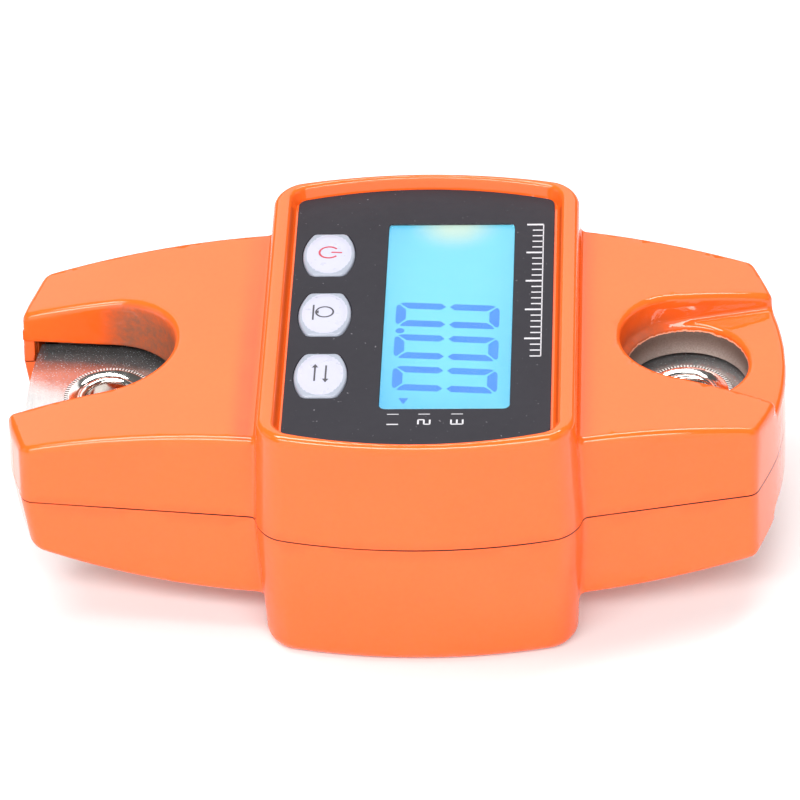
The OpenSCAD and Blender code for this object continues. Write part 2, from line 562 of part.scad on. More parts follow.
// door: flat lid with a rounded hinge edge, two stub pins, a finger recess and a latch tongue
module battery_door() color([0.16, 0.16, 0.17]) place() difference() {
  union() {
    box(-door_hx, door_hx, door_y0, door_y1, door_low, door_low + door_t);
    translate([-door_hx, door_y1, door_low + door_t / 2]) rotate([0, 90, 0]) cylinder(r = door_t / 2, h = 2 * door_hx, $fn = 48);
    translate([-door_hx - 1.5, door_y1, door_low + door_t / 2]) rotate([0, 90, 0]) cylinder(r = 0.8, h = 2 * door_hx + 3, $fn = 32);
    box(-4, 4, door_y0, door_y0 + 1.3, door_low + door_t - e, door_low + door_t + 1.7);
  }
  translate([0, door_y0 + 8, door_low - 10.6]) sphere(r = 12, $fn = 96);
}

front_housing();
rear_housing();
face_panel();
display_window();
power_button();
tare_button();
unit_button();
power_switch_plunger();
tare_switch_plunger();
unit_switch_plunger();
switch_bodies();
lcd_glass();
lcd_backlight();
lcd_frame();
lcd_pins();
backlight_leds();
display_gasket();
main_board();
controller_chip();
converter_chip();
crystal();
capacitors();
board_screws();
load_cell();
strain_gauges();
gauge_coating();
load_cell_screws();
upper_eye_bushing_front();
upper_eye_bushing_back();
lower_eye_bushing_front();
lower_eye_bushing_back();
battery_tray();
battery_cells();
battery_spring_contacts();
battery_plate_contacts();
battery_leads();
battery_door();
load_cell_cable();
housing_screws();
tray_screws();
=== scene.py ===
import math

import bmesh
import bpy
import numpy as np
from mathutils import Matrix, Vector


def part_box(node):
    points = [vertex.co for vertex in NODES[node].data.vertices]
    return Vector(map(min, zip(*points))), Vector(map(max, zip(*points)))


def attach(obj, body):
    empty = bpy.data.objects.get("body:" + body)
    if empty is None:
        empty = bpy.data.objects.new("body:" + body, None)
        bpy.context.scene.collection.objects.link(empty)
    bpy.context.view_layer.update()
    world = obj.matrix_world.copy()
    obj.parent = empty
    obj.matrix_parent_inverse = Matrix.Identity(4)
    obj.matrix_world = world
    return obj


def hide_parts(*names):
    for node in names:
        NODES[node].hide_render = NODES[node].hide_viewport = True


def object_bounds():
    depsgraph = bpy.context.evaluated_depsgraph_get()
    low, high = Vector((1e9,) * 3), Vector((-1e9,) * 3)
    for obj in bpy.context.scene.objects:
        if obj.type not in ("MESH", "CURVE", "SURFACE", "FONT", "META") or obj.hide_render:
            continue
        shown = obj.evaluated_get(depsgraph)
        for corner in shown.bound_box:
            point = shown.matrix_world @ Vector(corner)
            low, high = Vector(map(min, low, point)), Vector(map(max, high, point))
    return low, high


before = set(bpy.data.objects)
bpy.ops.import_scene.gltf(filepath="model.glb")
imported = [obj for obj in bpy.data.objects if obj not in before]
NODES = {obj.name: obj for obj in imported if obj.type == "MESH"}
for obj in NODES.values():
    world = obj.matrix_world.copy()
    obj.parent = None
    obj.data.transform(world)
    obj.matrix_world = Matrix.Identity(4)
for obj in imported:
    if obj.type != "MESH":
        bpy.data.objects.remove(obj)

import openvdb as vdb
from mathutils import Matrix, Vector

CAD_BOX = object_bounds()
F32 = np.float32

# the object's own axes: x from the block centre, z from the parting plane, in mm
_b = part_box("main_board")
SX = round((_b[0].x + _b[1].x) * 500, 3)
SZ = round(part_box("front_housing")[0].z * 1000, 3)
EYE_R_X, EYE_L_X = 53.6, -64.2
_r = (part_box("upper_eye_bushing_front")[0].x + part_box("upper_eye_bushing_front")[1].x) * 500 - SX
_l = (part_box("lower_eye_bushing_front")[0].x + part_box("lower_eye_bushing_front")[1].x) * 500 - SX
assert abs(_r - EYE_R_X) < 0.05 and abs(_l - EYE_L_X) < 0.05
CELL_TOP = round(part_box("load_cell")[1].z * 1000 - SZ, 3)
CELL_LOW = round(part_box("load_cell")[0].z * 1000 - SZ, 3)


SLOT_X, SLOT_R, SLOT_A = -65.1, 14.9, math.radians(5)


def place(v):
    """mm in the object's own axes -> metres in the row frame"""
    v = np.asarray(v, float)
    return (v + np.array([SX, 0.0, SZ])) / 1000.0


# ------------------------------------------------------------------ materials
def new_mat(name):
    m = bpy.data.materials.new(name)
    m.use_nodes = True
    nt = m.node_tree
    b = nt.nodes["Principled BSDF"]
    return m, nt, b


def N(nt, kind, **kw):
    n = nt.nodes.new(kind)
    for k, v in kw.items():
        setattr(n, k, v)
    return n


def noise(nt, vec, scale, detail=4.0, rough=0.5, dist=0.0):
    n = N(nt, "ShaderNodeTexNoise")
    n.inputs["Scale"].default_value = scale
    n.inputs["Detail"].default_value = detail
    n.inputs["Roughness"].default_value = rough
    n.inputs["Distortion"].default_value = dist
    nt.links.new(vec, n.inputs["Vector"])
    return n.outputs["Fac"]


def ramp(nt, fac, lo, hi, a=0.0, b=1.0, smooth=False):
    r = N(nt, "ShaderNodeMapRange")
    if smooth:
        r.interpolation_type = "SMOOTHSTEP"
    r.inputs["From Min"].default_value = lo
    r.inputs["From Max"].default_value = hi
    r.inputs["To Min"].default_value = a
    r.inputs["To Max"].default_value = b
    nt.links.new(fac, r.inputs["Value"])
    return r.outputs["Result"]


def mixc(nt, fac, a, b, mode="MIX"):
    n = N(nt, "ShaderNodeMix", data_type="RGBA", blend_type=mode)
    for key, v in (("A", a), ("B", b)):
        sock = [s for s in n.inputs if s.name == key and s.type == "RGBA"][0]
        if isinstance(v, tuple):
            sock.default_value = (*v, 1.0) if len(v) == 3 else v
        else:
            nt.links.new(v, sock)
    if isinstance(fac, float):
        n.inputs["Factor"].default_value = fac
    else:
        nt.links.new(fac, n.inputs["Factor"])
    return [s for s in n.outputs if s.type == "RGBA"][0]


def math_n(nt, op, a, b=None, clamp=False):
    n = N(nt, "ShaderNodeMath", operation=op)
    n.use_clamp = clamp
    for i, v in enumerate((a, b)):
        if v is None:
            continue
        if isinstance(v, (int, float)):
            n.inputs[i].default_value = float(v)
        else:
            nt.links.new(v, n.inputs[i])
    return n.outputs[0]


def bump(nt, bsdf, height, strength, dist, prev=None, sock="Normal"):
    n = N(nt, "ShaderNodeBump")
    n.inputs["Strength"].default_value = strength
    n.inputs["Distance"].default_value = dist
    nt.links.new(height, n.inputs["Height"])
    if prev is not None:
        nt.links.new(prev, n.inputs["Normal"])
    nt.links.new(n.outputs["Normal"], bsdf.inputs[sock])
    return n.outputs["Normal"]


def obj_coord(nt):
    return N(nt, "ShaderNodeTexCoord").outputs["Object"]


def sep(nt, vec):
    n = N(nt, "ShaderNodeSeparateXYZ")
    nt.links.new(vec, n.inputs[0])
    return n.outputs[0], n.outputs[1], n.outputs[2]


def scaled(nt, vec, s):
    n = N(nt, "ShaderNodeMapping")
    n.inputs["Scale"].default_value = s
    nt.links.new(vec, n.inputs["Vector"])
    return n.outputs[0]


def tint(c, k):
    return tuple(min(1.0, max(0.0, x * k)) for x in c[:3])


def simple(name, color, rough=0.5, metal=0.0, var=0.06, vscale=120, rvar=0.08, rscale=600,
           bstr=0.15, bscale=2500, bdist=0.00005, coat=0.0, trans=0.0, ior=None, stretch=None, sss=0.0, speck=None, spec=None):
    m, nt, b = new_mat(name)
    v = obj_coord(nt)
    vv = scaled(nt, v, stretch) if stretch else v
    n1 = noise(nt, v, vscale, 5.0, 0.55)
    col = mixc(nt, ramp(nt, n1, 0.3, 0.7), tint(color, 1 - var), tint(color, 1 + var))
    if speck:
        s = noise(nt, v, speck[0], 2.0, 0.5)
        col = mixc(nt, ramp(nt, s, speck[1], speck[1] + 0.03), col, speck[2])
    nt.links.new(col, b.inputs["Base Color"])
    n2 = noise(nt, vv, rscale, 4.0, 0.6)
    nt.links.new(ramp(nt, n2, 0.25, 0.75, max(0.02, rough - rvar), min(1.0, rough + rvar)), b.inputs["Roughness"])
    n3 = noise(nt, vv, bscale, 3.0, 0.6)
    bump(nt, b, n3, bstr, bdist)
    b.inputs["Metallic"].default_value = metal
    if spec is not None:
        b.inputs["Specular IOR Level"].default_value = spec
    if coat:
        b.inputs["Coat Weight"].default_value = coat
        b.inputs["Coat Roughness"].default_value = 0.08
    if trans:
        b.inputs["Transmission Weight"].default_value = trans
    if ior:
        b.inputs["IOR"].default_value = ior
    if sss:
        b.inputs["Subsurface Weight"].default_value = sss
        b.inputs["Subsurface Radius"].default_value = (0.002, 0.002, 0.0022)
        b.inputs["Subsurface Scale"].default_value = 0.5
    return m


def enamel(name, color, deep):
    """sprayed gloss enamel: faint orange peel, dust nibs, pigment drift, and bare metal low in the hole wall"""
    m, nt, b = new_mat(name)
    v = obj_coord(nt)
    x, y, z = sep(nt, v)
    drift = noise(nt, v, 45.0, 4.0, 0.5)
    fine = noise(nt, v, 900.0, 3.0, 0.6)
    col = mixc(nt, ramp(nt, drift, 0.3, 0.7), tint(color, 0.965), tint(color, 1.02))
    col = mixc(nt, ramp(nt, fine, 0.35, 0.75, 0.0, 0.16), col, deep)
    # thinner, deeper paint on convex edges, where it pulls back
    geo = N(nt, "ShaderNodeNewGeometry")
    edge = ramp(nt, geo.outputs["Pointiness"], 0.51, 0.56, 0.0, 0.4, True)
    col = mixc(nt, edge, col, deep)
    # deep corners of the slot and the recess round the hole: painted shade, brown and mottled, darker deeper down; the
    # paint there is taken as thin, so the same mask also dulls the coat
    slx = math_n(nt, "SUBTRACT", x, (SX + SLOT_X) / 1000)
    slr = math_n(nt, "SQRT", math_n(nt, "ADD", math_n(nt, "MULTIPLY", slx, slx), math_n(nt, "MULTIPLY", y, y)))
    m1 = math_n(nt, "MULTIPLY", ramp(nt, slr, 0.0156, 0.0151), ramp(nt, slx, -0.0035, 0.0045, 0.0, 1.0, True))
    m1 = math_n(nt, "MULTIPLY", m1, ramp(nt, z, (SZ + 20.0) / 1000, (SZ + 12.5) / 1000, 0.0, 0.95, True))
    fnx = math_n(nt, "SUBTRACT", x, (SX + EYE_R_X) / 1000)
    fnr = math_n(nt, "SQRT", math_n(nt, "ADD", math_n(nt, "MULTIPLY", fnx, fnx), math_n(nt, "MULTIPLY", y, y)))
    m2 = math_n(nt, "MULTIPLY", ramp(nt, fnr, 0.0141, 0.0137), ramp(nt, fnx, 0.001, -0.009, 0.0, 1.0, True))
    m2 = math_n(nt, "MULTIPLY", m2, ramp(nt, z, (SZ + 16.0) / 1000, (SZ + 9.5) / 1000, 0.0, 0.8, True))
    mott = noise(nt, v, 800.0, 5.0, 0.7)
    shade_and_thin_paint = math_n(nt, "MULTIPLY", math_n(nt, "MAXIMUM", m1, m2), ramp(nt, mott, 0.3, 0.62, 0.62, 1.0))
    shade_and_thin_paint = math_n(nt, "MULTIPLY", shade_and_thin_paint, math_n(nt, "GREATER_THAN", z, SZ / 1000))
    col = mixc(nt, shade_and_thin_paint, col, (0.25, 0.115, 0.072))
    # painted shade along the root of the load wing, on its upper face where it meets the block, stronger towards the
    # near side
    rtx = math_n(nt, "SUBTRACT", SX / 1000, x)
    nz = sep(nt, geo.outputs["Normal"])[2]
    painted_root_shade = math_n(nt, "MULTIPLY", ramp(nt, rtx, 0.0385, 0.0348, 0.0, 1.0, True), ramp(nt, nz, 0.55, 0.8))
    painted_root_shade = math_n(nt, "MULTIPLY", painted_root_shade, math_n(nt, "MULTIPLY", ramp(nt, rtx, 0.0325, 0.0338), ramp(nt, z, (SZ + 21.5) / 1000, (SZ + 20.5) / 1000)))
    painted_root_shade = math_n(nt, "MULTIPLY", painted_root_shade, ramp(nt, noise(nt, v, 120.0, 3.0, 0.5), 0.25, 0.75, 0.6, 1.0))
    painted_root_shade = math_n(nt, "MULTIPLY", painted_root_shade, ramp(nt, y, 0.032, -0.012, 0.35, 0.95, True))
    col = mixc(nt, painted_root_shade, col, (0.40, 0.080, 0.014))
    # dust nibs
    nib = N(nt, "ShaderNodeTexVoronoi")
    nib.inputs["Scale"].default_value = 130.0
    nt.links.new(v, nib.inputs["Vector"])
    gate = noise(nt, v, 60.0, 1.0, 0.5)
    nibm = math_n(nt, "MULTIPLY", ramp(nt, nib.outputs["Distance"], 0.045, 0.02), ramp(nt, gate, 0.6, 0.64))
    # bare casting at the foot of the wall of the suspension hole
    dx = math_n(nt, "SUBTRACT", x, (SX + EYE_R_X) / 1000)
    rad = math_n(nt, "SQRT", math_n(nt, "ADD", math_n(nt, "MULTIPLY", dx, dx), math_n(nt, "MULTIPLY", y, y)))
    inside = ramp(nt, rad, 0.01262, 0.01256)
    zz = math_n(nt, "ABSOLUTE", math_n(nt, "SUBTRACT", z, (SZ + (CELL_TOP + CELL_LOW) / 2) / 1000))
    wob = noise(nt, v, 700.0, 5.0, 0.7)
    lim = ramp(nt, wob, 0.3, 0.7, 0.01085, 0.01135)
    low = math_n(nt, "LESS_THAN", zz, lim)
    bare = math_n(nt, "MULTIPLY", inside, low, True)
    grit = noise(nt, v, 3500.0, 4.0, 0.7)
    metalc = mixc(nt, ramp(nt, grit, 0.3, 0.7), (0.36, 0.285, 0.255), (0.60, 0.51, 0.46))
    metalc = mixc(nt, ramp(nt, zz, 0.0052, 0.0102, 0.0, 0.75, True), metalc, (0.14, 0.085, 0.064))
    lip = math_n(nt, "MULTIPLY", inside, ramp(nt, math_n(nt, "ABSOLUTE", math_n(nt, "SUBTRACT", zz, math_n(nt, "ADD", lim, 0.00012))), 0.00022, 0.0001), True)
    col = mixc(nt, bare, col, metalc)
    col = mixc(nt, math_n(nt, "MULTIPLY", lip, 0.8), col, (1.0, 0.46, 0.30))
    # painted shade in the parting line between the shells, darker in some stretches than in others
    parting_shade = ramp(nt, math_n(nt, "ABSOLUTE", math_n(nt, "SUBTRACT", z, SZ / 1000)), 0.00019, 0.00013, 0.0, 1.0, True)
    parting_shade = math_n(nt, "MULTIPLY", parting_shade, ramp(nt, noise(nt, v, 28.0, 3.0, 0.6), 0.36, 0.56, 0.35, 1.0))
    col = mixc(nt, parting_shade, col, (0.035, 0.010, 0.006))
    nt.links.new(col, b.inputs["Base Color"])
    rn = noise(nt, v, 260.0, 4.0, 0.6)
    r0 = ramp(nt, rn, 0.3, 0.7, 0.30, 0.40)
    mx = N(nt, "ShaderNodeMix", data_type="FLOAT")
    nt.links.new(bare, mx.inputs[0]); nt.links.new(r0, mx.inputs[2]); mx.inputs[3].default_value = 0.5
    nt.links.new(mx.outputs[0], b.inputs["Roughness"])
    nt.links.new(math_n(nt, "MULTIPLY", bare, 0.6), b.inputs["Metallic"])
    ay = math_n(nt, "ABSOLUTE", y)
    slw = math_n(nt, "MULTIPLY", ramp(nt, ay, 0.0175, 0.0168), ramp(nt, x, (SX - 49.6) / 1000, (SX - 50.0) / 1000))
    slw = math_n(nt, "MULTIPLY", slw, ramp(nt, nz, 0.35, 0.1))
    holew = math_n(nt, "MULTIPLY", ramp(nt, fnr, 0.0141, 0.0137), ramp(nt, nz, 0.35, 0.1))
    dull = math_n(nt, "MAXIMUM", math_n(nt, "MULTIPLY", slw, 0.85), math_n(nt, "MULTIPLY", holew, 0.7))
    dull = math_n(nt, "MAXIMUM", dull, math_n(nt, "MULTIPLY", shade_and_thin_paint, 0.9))
    nt.links.new(math_n(nt, "SUBTRACT", 1.0, math_n(nt, "MAXIMUM", bare, dull), True), b.inputs["Coat Weight"])
    b.inputs["Coat IOR"].default_value = 1.52
    b.inputs["Specular IOR Level"].default_value = 0.0
    crn = noise(nt, v, 180.0, 3.0, 0.5)
    nt.links.new(ramp(nt, crn, 0.3, 0.7, 0.035, 0.06), b.inputs["Coat Roughness"])
    cpeel = noise(nt, v, 380.0, 1.0, 0.4)
    bump(nt, b, cpeel, 0.05, 0.00006, None, "Coat Normal")
    peel = noise(nt, v, 420.0, 2.0, 0.45)
    pr = bump(nt, b, peel, 0.10, 0.00012)
    pr = bump(nt, b, nibm, 0.5, 0.00008, pr)
    bump(nt, b, math_n(nt, "MULTIPLY", grit, bare), 0.6, 0.00012, pr)
    return m


ORANGE = (0.92, 0.126, 0.0155)
DEEP = (0.84, 0.088, 0.009)
M_ENAMEL = enamel("enamel_orange", ORANGE, DEEP)
M_CAST = simple("raw_casting", (0.34, 0.31, 0.29), 0.55, 0.8, 0.18, 260, 0.12, 900, 0.5, 1800, 0.0002)
M_PANEL = simple("panel_film", (0.0205, 0.019, 0.025), 0.46, 0.0, 0.05, 90, 0.05, 500, 0.10, 3200, 0.00004,
                 speck=(1400, 0.735, (0.19, 0.18, 0.20)), spec=0.18)
M_INK = simple("panel_ink_white", (0.52, 0.51, 0.54), 0.5, 0.0, 0.04, 400, 0.05, 900, 0.1, 4000, 0.00002)
M_KEY = simple("key_plastic", (0.435, 0.435, 0.53), 0.30, 0.0, 0.02, 260, 0.05, 500, 0.08, 1500, 0.00004, coat=0.3, sss=0.25)
M_KEYRIM = simple("key_rim", (0.275, 0.30, 0.36), 0.36, 0.0, 0.03, 260, 0.05, 500, 0.08, 1500, 0.00004, coat=0.2, sss=0.15)
M_INK_RED = simple("key_ink_red", (0.44, 0.035, 0.06), 0.5, 0.0, 0.05, 500, 0.05, 900, 0.1, 4000, 0.00002)
M_INK_DARK = simple("key_ink_dark", (0.05, 0.045, 0.055), 0.5, 0.0, 0.05, 500, 0.05, 900, 0.1, 4000, 0.00002)
M_BLACK = simple("black_plastic", (0.028, 0.028, 0.03), 0.48, 0.0, 0.1, 200, 0.08, 700, 0.3, 2200, 0.00008)
M_WHITE = simple("white_plastic", (0.78, 0.78, 0.75), 0.45, 0.0, 0.03, 200, 0.06, 700, 0.15, 2200, 0.00005)
M_FOAM = simple("foam_tape", (0.02, 0.02, 0.02), 0.95, 0.0, 0.3, 1500, 0.03, 700, 0.8, 3000, 0.0002)
M_BOARD = simple("board_mask", (0.02, 0.16, 0.055), 0.3, 0.0, 0.12, 350, 0.08, 500, 0.2, 1800, 0.00005, coat=0.4)
M_EPOXY = simple("chip_epoxy", (0.015, 0.015, 0.017), 0.35, 0.0, 0.2, 400, 0.1, 800, 0.3, 1400, 0.0001)
M_TIN = simple("tinned_metal", (0.66, 0.65, 0.61), 0.3, 1.0, 0.06, 400, 0.1, 900, 0.2, 2600, 0.00004)
M_ZINC = simple("zinc_plated", (0.52, 0.52, 0.50), 0.34, 1.0, 0.1, 500, 0.1, 900, 0.25, 2600, 0.00005)
M_BLKSCREW = simple("black_oxide", (0.05, 0.05, 0.055), 0.4, 0.8, 0.15, 500, 0.1, 900, 0.3, 2600, 0.00005)
M_SPRING = simple("spring_nickel", (0.68, 0.67, 0.64), 0.22, 1.0, 0.05, 400, 0.06, 900, 0.1, 2600, 0.00003)
M_LED = simple("led_phosphor", (0.92, 0.82, 0.30), 0.4, 0.0, 0.05, 500, 0.05, 700, 0.2, 2000, 0.00005)
M_GUIDE = simple("light_guide", (0.72, 0.90, 0.98), 0.2, 0.0, 0.03, 300, 0.05, 700, 0.1, 1800, 0.00003, trans=0.3)
M_CAPS = simple("capacitor_sleeve", (0.03, 0.06, 0.22), 0.3, 0.0, 0.08, 400, 0.06, 700, 0.1, 2200, 0.00004, coat=0.3)
M_FOIL = simple("gauge_foil", (0.62, 0.32, 0.08), 0.35, 0.0, 0.1, 900, 0.06, 700, 0.1, 2600, 0.00003, coat=0.4)
M_SILIC = simple("gauge_silicone", (0.80, 0.80, 0.77), 0.5, 0.0, 0.04, 300, 0.08, 500, 0.5, 500, 0.0002, sss=0.2)
M_WIRE_R = simple("wire_red", (0.50, 0.02, 0.02), 0.4, 0.0, 0.06, 400, 0.06, 700, 0.15, 1800, 0.00004)
M_WIRE_G = simple("wire_grey", (0.60, 0.60, 0.62), 0.4, 0.0, 0.06, 400, 0.06, 700, 0.15, 1800, 0.00004)


def cell_jacket():
    m, nt, b = new_mat("cell_jacket")
    v = obj_coord(nt)
    x, y, z = sep(nt, v)
    ay = math_n(nt, "ABSOLUTE", y)
    n1 = noise(nt, v, 200.0)
    green = mixc(nt, ramp(nt, n1, 0.3, 0.7), (0.035, 0.20, 0.10), (0.045, 0.25, 0.13))
    band = mixc(nt, math_n(nt, "GREATER_THAN", ay, 0.0125), green, (0.55, 0.55, 0.56))
    nt.links.new(band, b.inputs["Base Color"])
    nt.links.new(ramp(nt, n1, 0.3, 0.7, 0.25, 0.4), b.inputs["Roughness"])
    b.inputs["Coat Weight"].default_value = 0.4
    bump(nt, b, noise(nt, v, 1200.0), 0.1, 0.00003)
    return m


def cell_alu():
    """milled and blasted aluminium plate: fine lines across, cloudy patches, and white specks painted in as glints off
    the blasted grain
    """
    m, nt, b = new_mat("cell_aluminium")
    v = obj_coord(nt)
    lines = noise(nt, scaled(nt, v, (1.0, 0.02, 0.2)), 2600.0, 2.0, 0.6)
    cloud = noise(nt, v, 300.0, 6.0, 0.62, 0.4)
    grain = noise(nt, v, 3800.0, 3.0, 0.6)
    c = mixc(nt, ramp(nt, cloud, 0.3, 0.7), (0.56, 0.545, 0.54), (0.70, 0.69, 0.685))
    c = mixc(nt, ramp(nt, grain, 0.35, 0.7, 0.0, 0.35), c, (0.42, 0.40, 0.40))
    c = mixc(nt, ramp(nt, lines, 0.35, 0.65, 0.0, 0.25), c, (0.80, 0.79, 0.79))
    # white specks: painted glints off the blasted grain; the metal is turned down under them so the white shows
    speck = noise(nt, v, 3300.0, 2.0, 0.5)
    c = mixc(nt, ramp(nt, speck, 0.64, 0.70, 0.0, 0.9), c, (1.0, 1.0, 1.0))
    # painted shadow: a dark strip on the plate at the foot of the far wall of the slot, where the wall's shade falls;
    # the specks are spared
    x, y, z = sep(nt, v)
    foot = math_n(nt, "MULTIPLY", ramp(nt, y, 0.0080, 0.0115, 0.0, 0.5, True), ramp(nt, x, (SX - 46.0) / 1000, (SX - 47.0) / 1000))
    c = mixc(nt, math_n(nt, "MULTIPLY", foot, ramp(nt, speck, 0.70, 0.64)), c, (0.09, 0.08, 0.09))
    nt.links.new(c, b.inputs["Base Color"])
    nt.links.new(ramp(nt, speck, 0.62, 0.70, 0.82, 0.35), b.inputs["Metallic"])
    nt.links.new(ramp(nt, cloud, 0.3, 0.7, 0.15, 0.24), b.inputs["Roughness"])
    pr = bump(nt, b, lines, 0.25, 0.00006)
    bump(nt, b, grain, 0.35, 0.00006, pr)
    return m


def nickel():
    m, nt, b = new_mat("bright_nickel")
    v = obj_coord(nt)
    n1 = noise(nt, v, 700.0, 4.0, 0.6)
    nt.links.new(mixc(nt, ramp(nt, n1, 0.3, 0.7), (0.72, 0.69, 0.65), (0.80, 0.78, 0.75)), b.inputs["Base Color"])
    b.inputs["Metallic"].default_value = 1.0
    nt.links.new(ramp(nt, n1, 0.3, 0.75, 0.07, 0.16), b.inputs["Roughness"])
    bump(nt, b, noise(nt, v, 2600.0, 2.0), 0.05, 0.00003)
    return m


def lcd_mat():
    """lit display: cyan field, paler towards the middle, warm glow where the lamps shine in at the far edge"""
    m, nt, b = new_mat("lcd_lit")
    v = obj_coord(nt)
    x, y, z = sep(nt, v)
    cx = (SX + 5.45) / 1000
    fx = math_n(nt, "DIVIDE", math_n(nt, "SUBTRACT", x, cx), 0.013)       # -1..1 across
    fy = math_n(nt, "DIVIDE", y, 0.0322)                                   # -1..1 along
    # paler middle, deeper edges
    e = math_n(nt, "MAXIMUM", math_n(nt, "POWER", math_n(nt, "ABSOLUTE", fx), 3.0),
               math_n(nt, "MULTIPLY", math_n(nt, "POWER", math_n(nt, "ABSOLUTE", fy), 4.0), 0.8))
    cloud = noise(nt, v, 55.0, 3.0, 0.5)
    base = mixc(nt, ramp(nt, e, 0.0, 1.0), (0.155, 0.80, 1.0), (0.075, 0.60, 1.0))
    base = mixc(nt, ramp(nt, fy, -1.0, 0.8, 0.0, 0.45), base, (0.22, 0.86, 1.0))
    base = mixc(nt, ramp(nt, cloud, 0.35, 0.7, 0.0, 0.18), base, (0.24, 0.87, 1.0))
    # deeper corner
    cor = math_n(nt, "MULTIPLY", ramp(nt, fx, -0.2, -1.05, 0.0, 1.0), ramp(nt, fy, -0.35, -1.05, 0.0, 1.0))
    base = mixc(nt, math_n(nt, "MULTIPLY", cor, 0.55), base, (0.045, 0.52, 1.0))
    cor2 = math_n(nt, "MULTIPLY", ramp(nt, fx, -0.3, -1.05, 0.0, 1.0), ramp(nt, fy, 0.45, 1.05, 0.0, 1.0))
    base = mixc(nt, math_n(nt, "MULTIPLY", cor2, 0.6), base, (0.06, 0.55, 1.0))
    # glow
    gx = math_n(nt, "MULTIPLY", math_n(nt, "SUBTRACT", fx, 0.05), 1.25)
    gy = math_n(nt, "MULTIPLY", math_n(nt, "SUBTRACT", fy, 1.0), 3.3)
    g = math_n(nt, "SQRT", math_n(nt, "ADD", math_n(nt, "MULTIPLY", gx, gx), math_n(nt, "MULTIPLY", gy, gy)))
    base = mixc(nt, ramp(nt, g, 1.0, 0.1, 0.0, 0.9, True), base, (0.80, 0.96, 0.74))
    nt.links.new(base, b.inputs["Emission Color"])
    b.inputs["Emission Strength"].default_value = 0.80
    b.inputs["Base Color"].default_value = (0.02, 0.07, 0.09, 1)
    nt.links.new(ramp(nt, cloud, 0.3, 0.7, 0.3, 0.36), b.inputs["Roughness"])
    return m


def lcd_ink():
    m, nt, b = new_mat("lcd_segment")
    v = obj_coord(nt)
    n1 = noise(nt, v, 150.0, 3.0, 0.5)
    c = mixc(nt, ramp(nt, n1, 0.3, 0.7), (0.008, 0.235, 0.93), (0.02, 0.30, 1.0))
    nt.links.new(c, b.inputs["Emission Color"])
    b.inputs["Emission Strength"].default_value = 0.93
    b.inputs["Base Color"].default_value = (0.004, 0.02, 0.06, 1)
    nt.links.new(ramp(nt, n1, 0.3, 0.7, 0.3, 0.4), b.inputs["Roughness"])
    return m


def clear_film():
    m, nt, b = new_mat("clear_film")
    v = obj_coord(nt)
    n1 = noise(nt, v, 400.0, 3.0, 0.5)
    nt.links.new(mixc(nt, ramp(nt, n1, 0.3, 0.7), (0.97, 0.985, 1.0), (1.0, 1.0, 1.0)), b.inputs["Base Color"])
    nt.links.new(ramp(nt, n1, 0.3, 0.7, 0.10, 0.16), b.inputs["Roughness"])
    b.inputs["Transmission Weight"].default_value = 1.0
    b.inputs["IOR"].default_value = 1.18
    bump(nt, b, noise(nt, v, 900.0), 0.03, 0.00002)
    return m


M_JACKET = cell_jacket()
M_ALU = cell_alu()
M_NICKEL = nickel()
M_LCD = lcd_mat()
M_SEG = lcd_ink()
M_CLEAR = clear_film()

for node, m in {
    "load_cell": M_ALU, "switch_bodies": M_BLACK, "lcd_backlight": M_GUIDE, "lcd_frame": M_WHITE, "lcd_pins": M_TIN,
    "backlight_leds": M_LED, "display_gasket": M_FOAM, "main_board": M_BOARD, "controller_chip": M_EPOXY,
    "converter_chip": M_EPOXY, "crystal": M_TIN, "capacitors": M_CAPS, "board_screws": M_ZINC,
    "strain_gauges": M_FOIL, "gauge_coating": M_SILIC, "load_cell_screws": M_BLKSCREW, "battery_tray": M_BLACK,
    "battery_cells": M_JACKET, "battery_spring_contacts": M_SPRING, "battery_plate_contacts": M_SPRING,
    "battery_leads": M_WIRE_R, "load_cell_cable": M_WIRE_G, "housing_screws": M_ZINC, "tray_screws": M_ZINC,
    "power_switch_plunger": M_BLACK, "tare_switch_plunger": M_BLACK, "unit_switch_plunger": M_BLACK,
}.items():
    o = NODES[node]
    o.data.materials.clear()
    o.data.materials.append(m)


# ------------------------------------------------------------------ mesh helpers
def mesh_obj(name, verts_mm, faces, mats, smooth=True, mat_index=None):
    me = bpy.data.meshes.new(name)
    me.from_pydata([tuple(p) for p in place(verts_mm)], [], [tuple(int(i) for i in f) for f in faces])
    for m in mats:
        me.materials.append(m)
    if mat_index is not None:
        me.polygons.foreach_set("material_index", np.asarray(mat_index, np.int32))
    me.polygons.foreach_set("use_smooth", np.full(len(me.polygons), smooth))
    me.update()
    o = bpy.data.objects.new(name, me)
    bpy.context.scene.collection.objects.link(o)
    return o


def auto_sharp(o, deg=35):
    """keeps edges over deg crisp on a smooth-shaded mesh"""
    bm = bmesh.new()
    bm.from_mesh(o.data)
    lim = math.radians(deg)
    for e in bm.edges:
        e.smooth = not (len(e.link_faces) == 2 and e.calc_face_angle(0) > lim)
    bm.to_mesh(o.data)
    bm.free()


def outward(o):
    bm = bmesh.new()
    bm.from_mesh(o.data)
    bmesh.ops.recalc_face_normals(bm, faces=bm.faces)
    bm.to_mesh(o.data)
    bm.free()


def loop_offset(p, d):
    """moves a closed counter-clockwise loop inward by d"""
    p = np.asarray(p, float)
    a = np.roll(p, 1, 0)
    b = np.roll(p, -1, 0)
    t1 = p - a
    t2 = b - p
    t1 /= np.linalg.norm(t1, axis=1)[:, None] + 1e-12
    t2 /= np.linalg.norm(t2, axis=1)[:, None] + 1e-12
    n1 = np.c_[-t1[:, 1], t1[:, 0]]
    n2 = np.c_[-t2[:, 1], t2[:, 0]]
    n = n1 + n2
    k = 1 + (n1 * n2).sum(1)
    return p + n * (d / np.maximum(k, 0.2))[:, None]


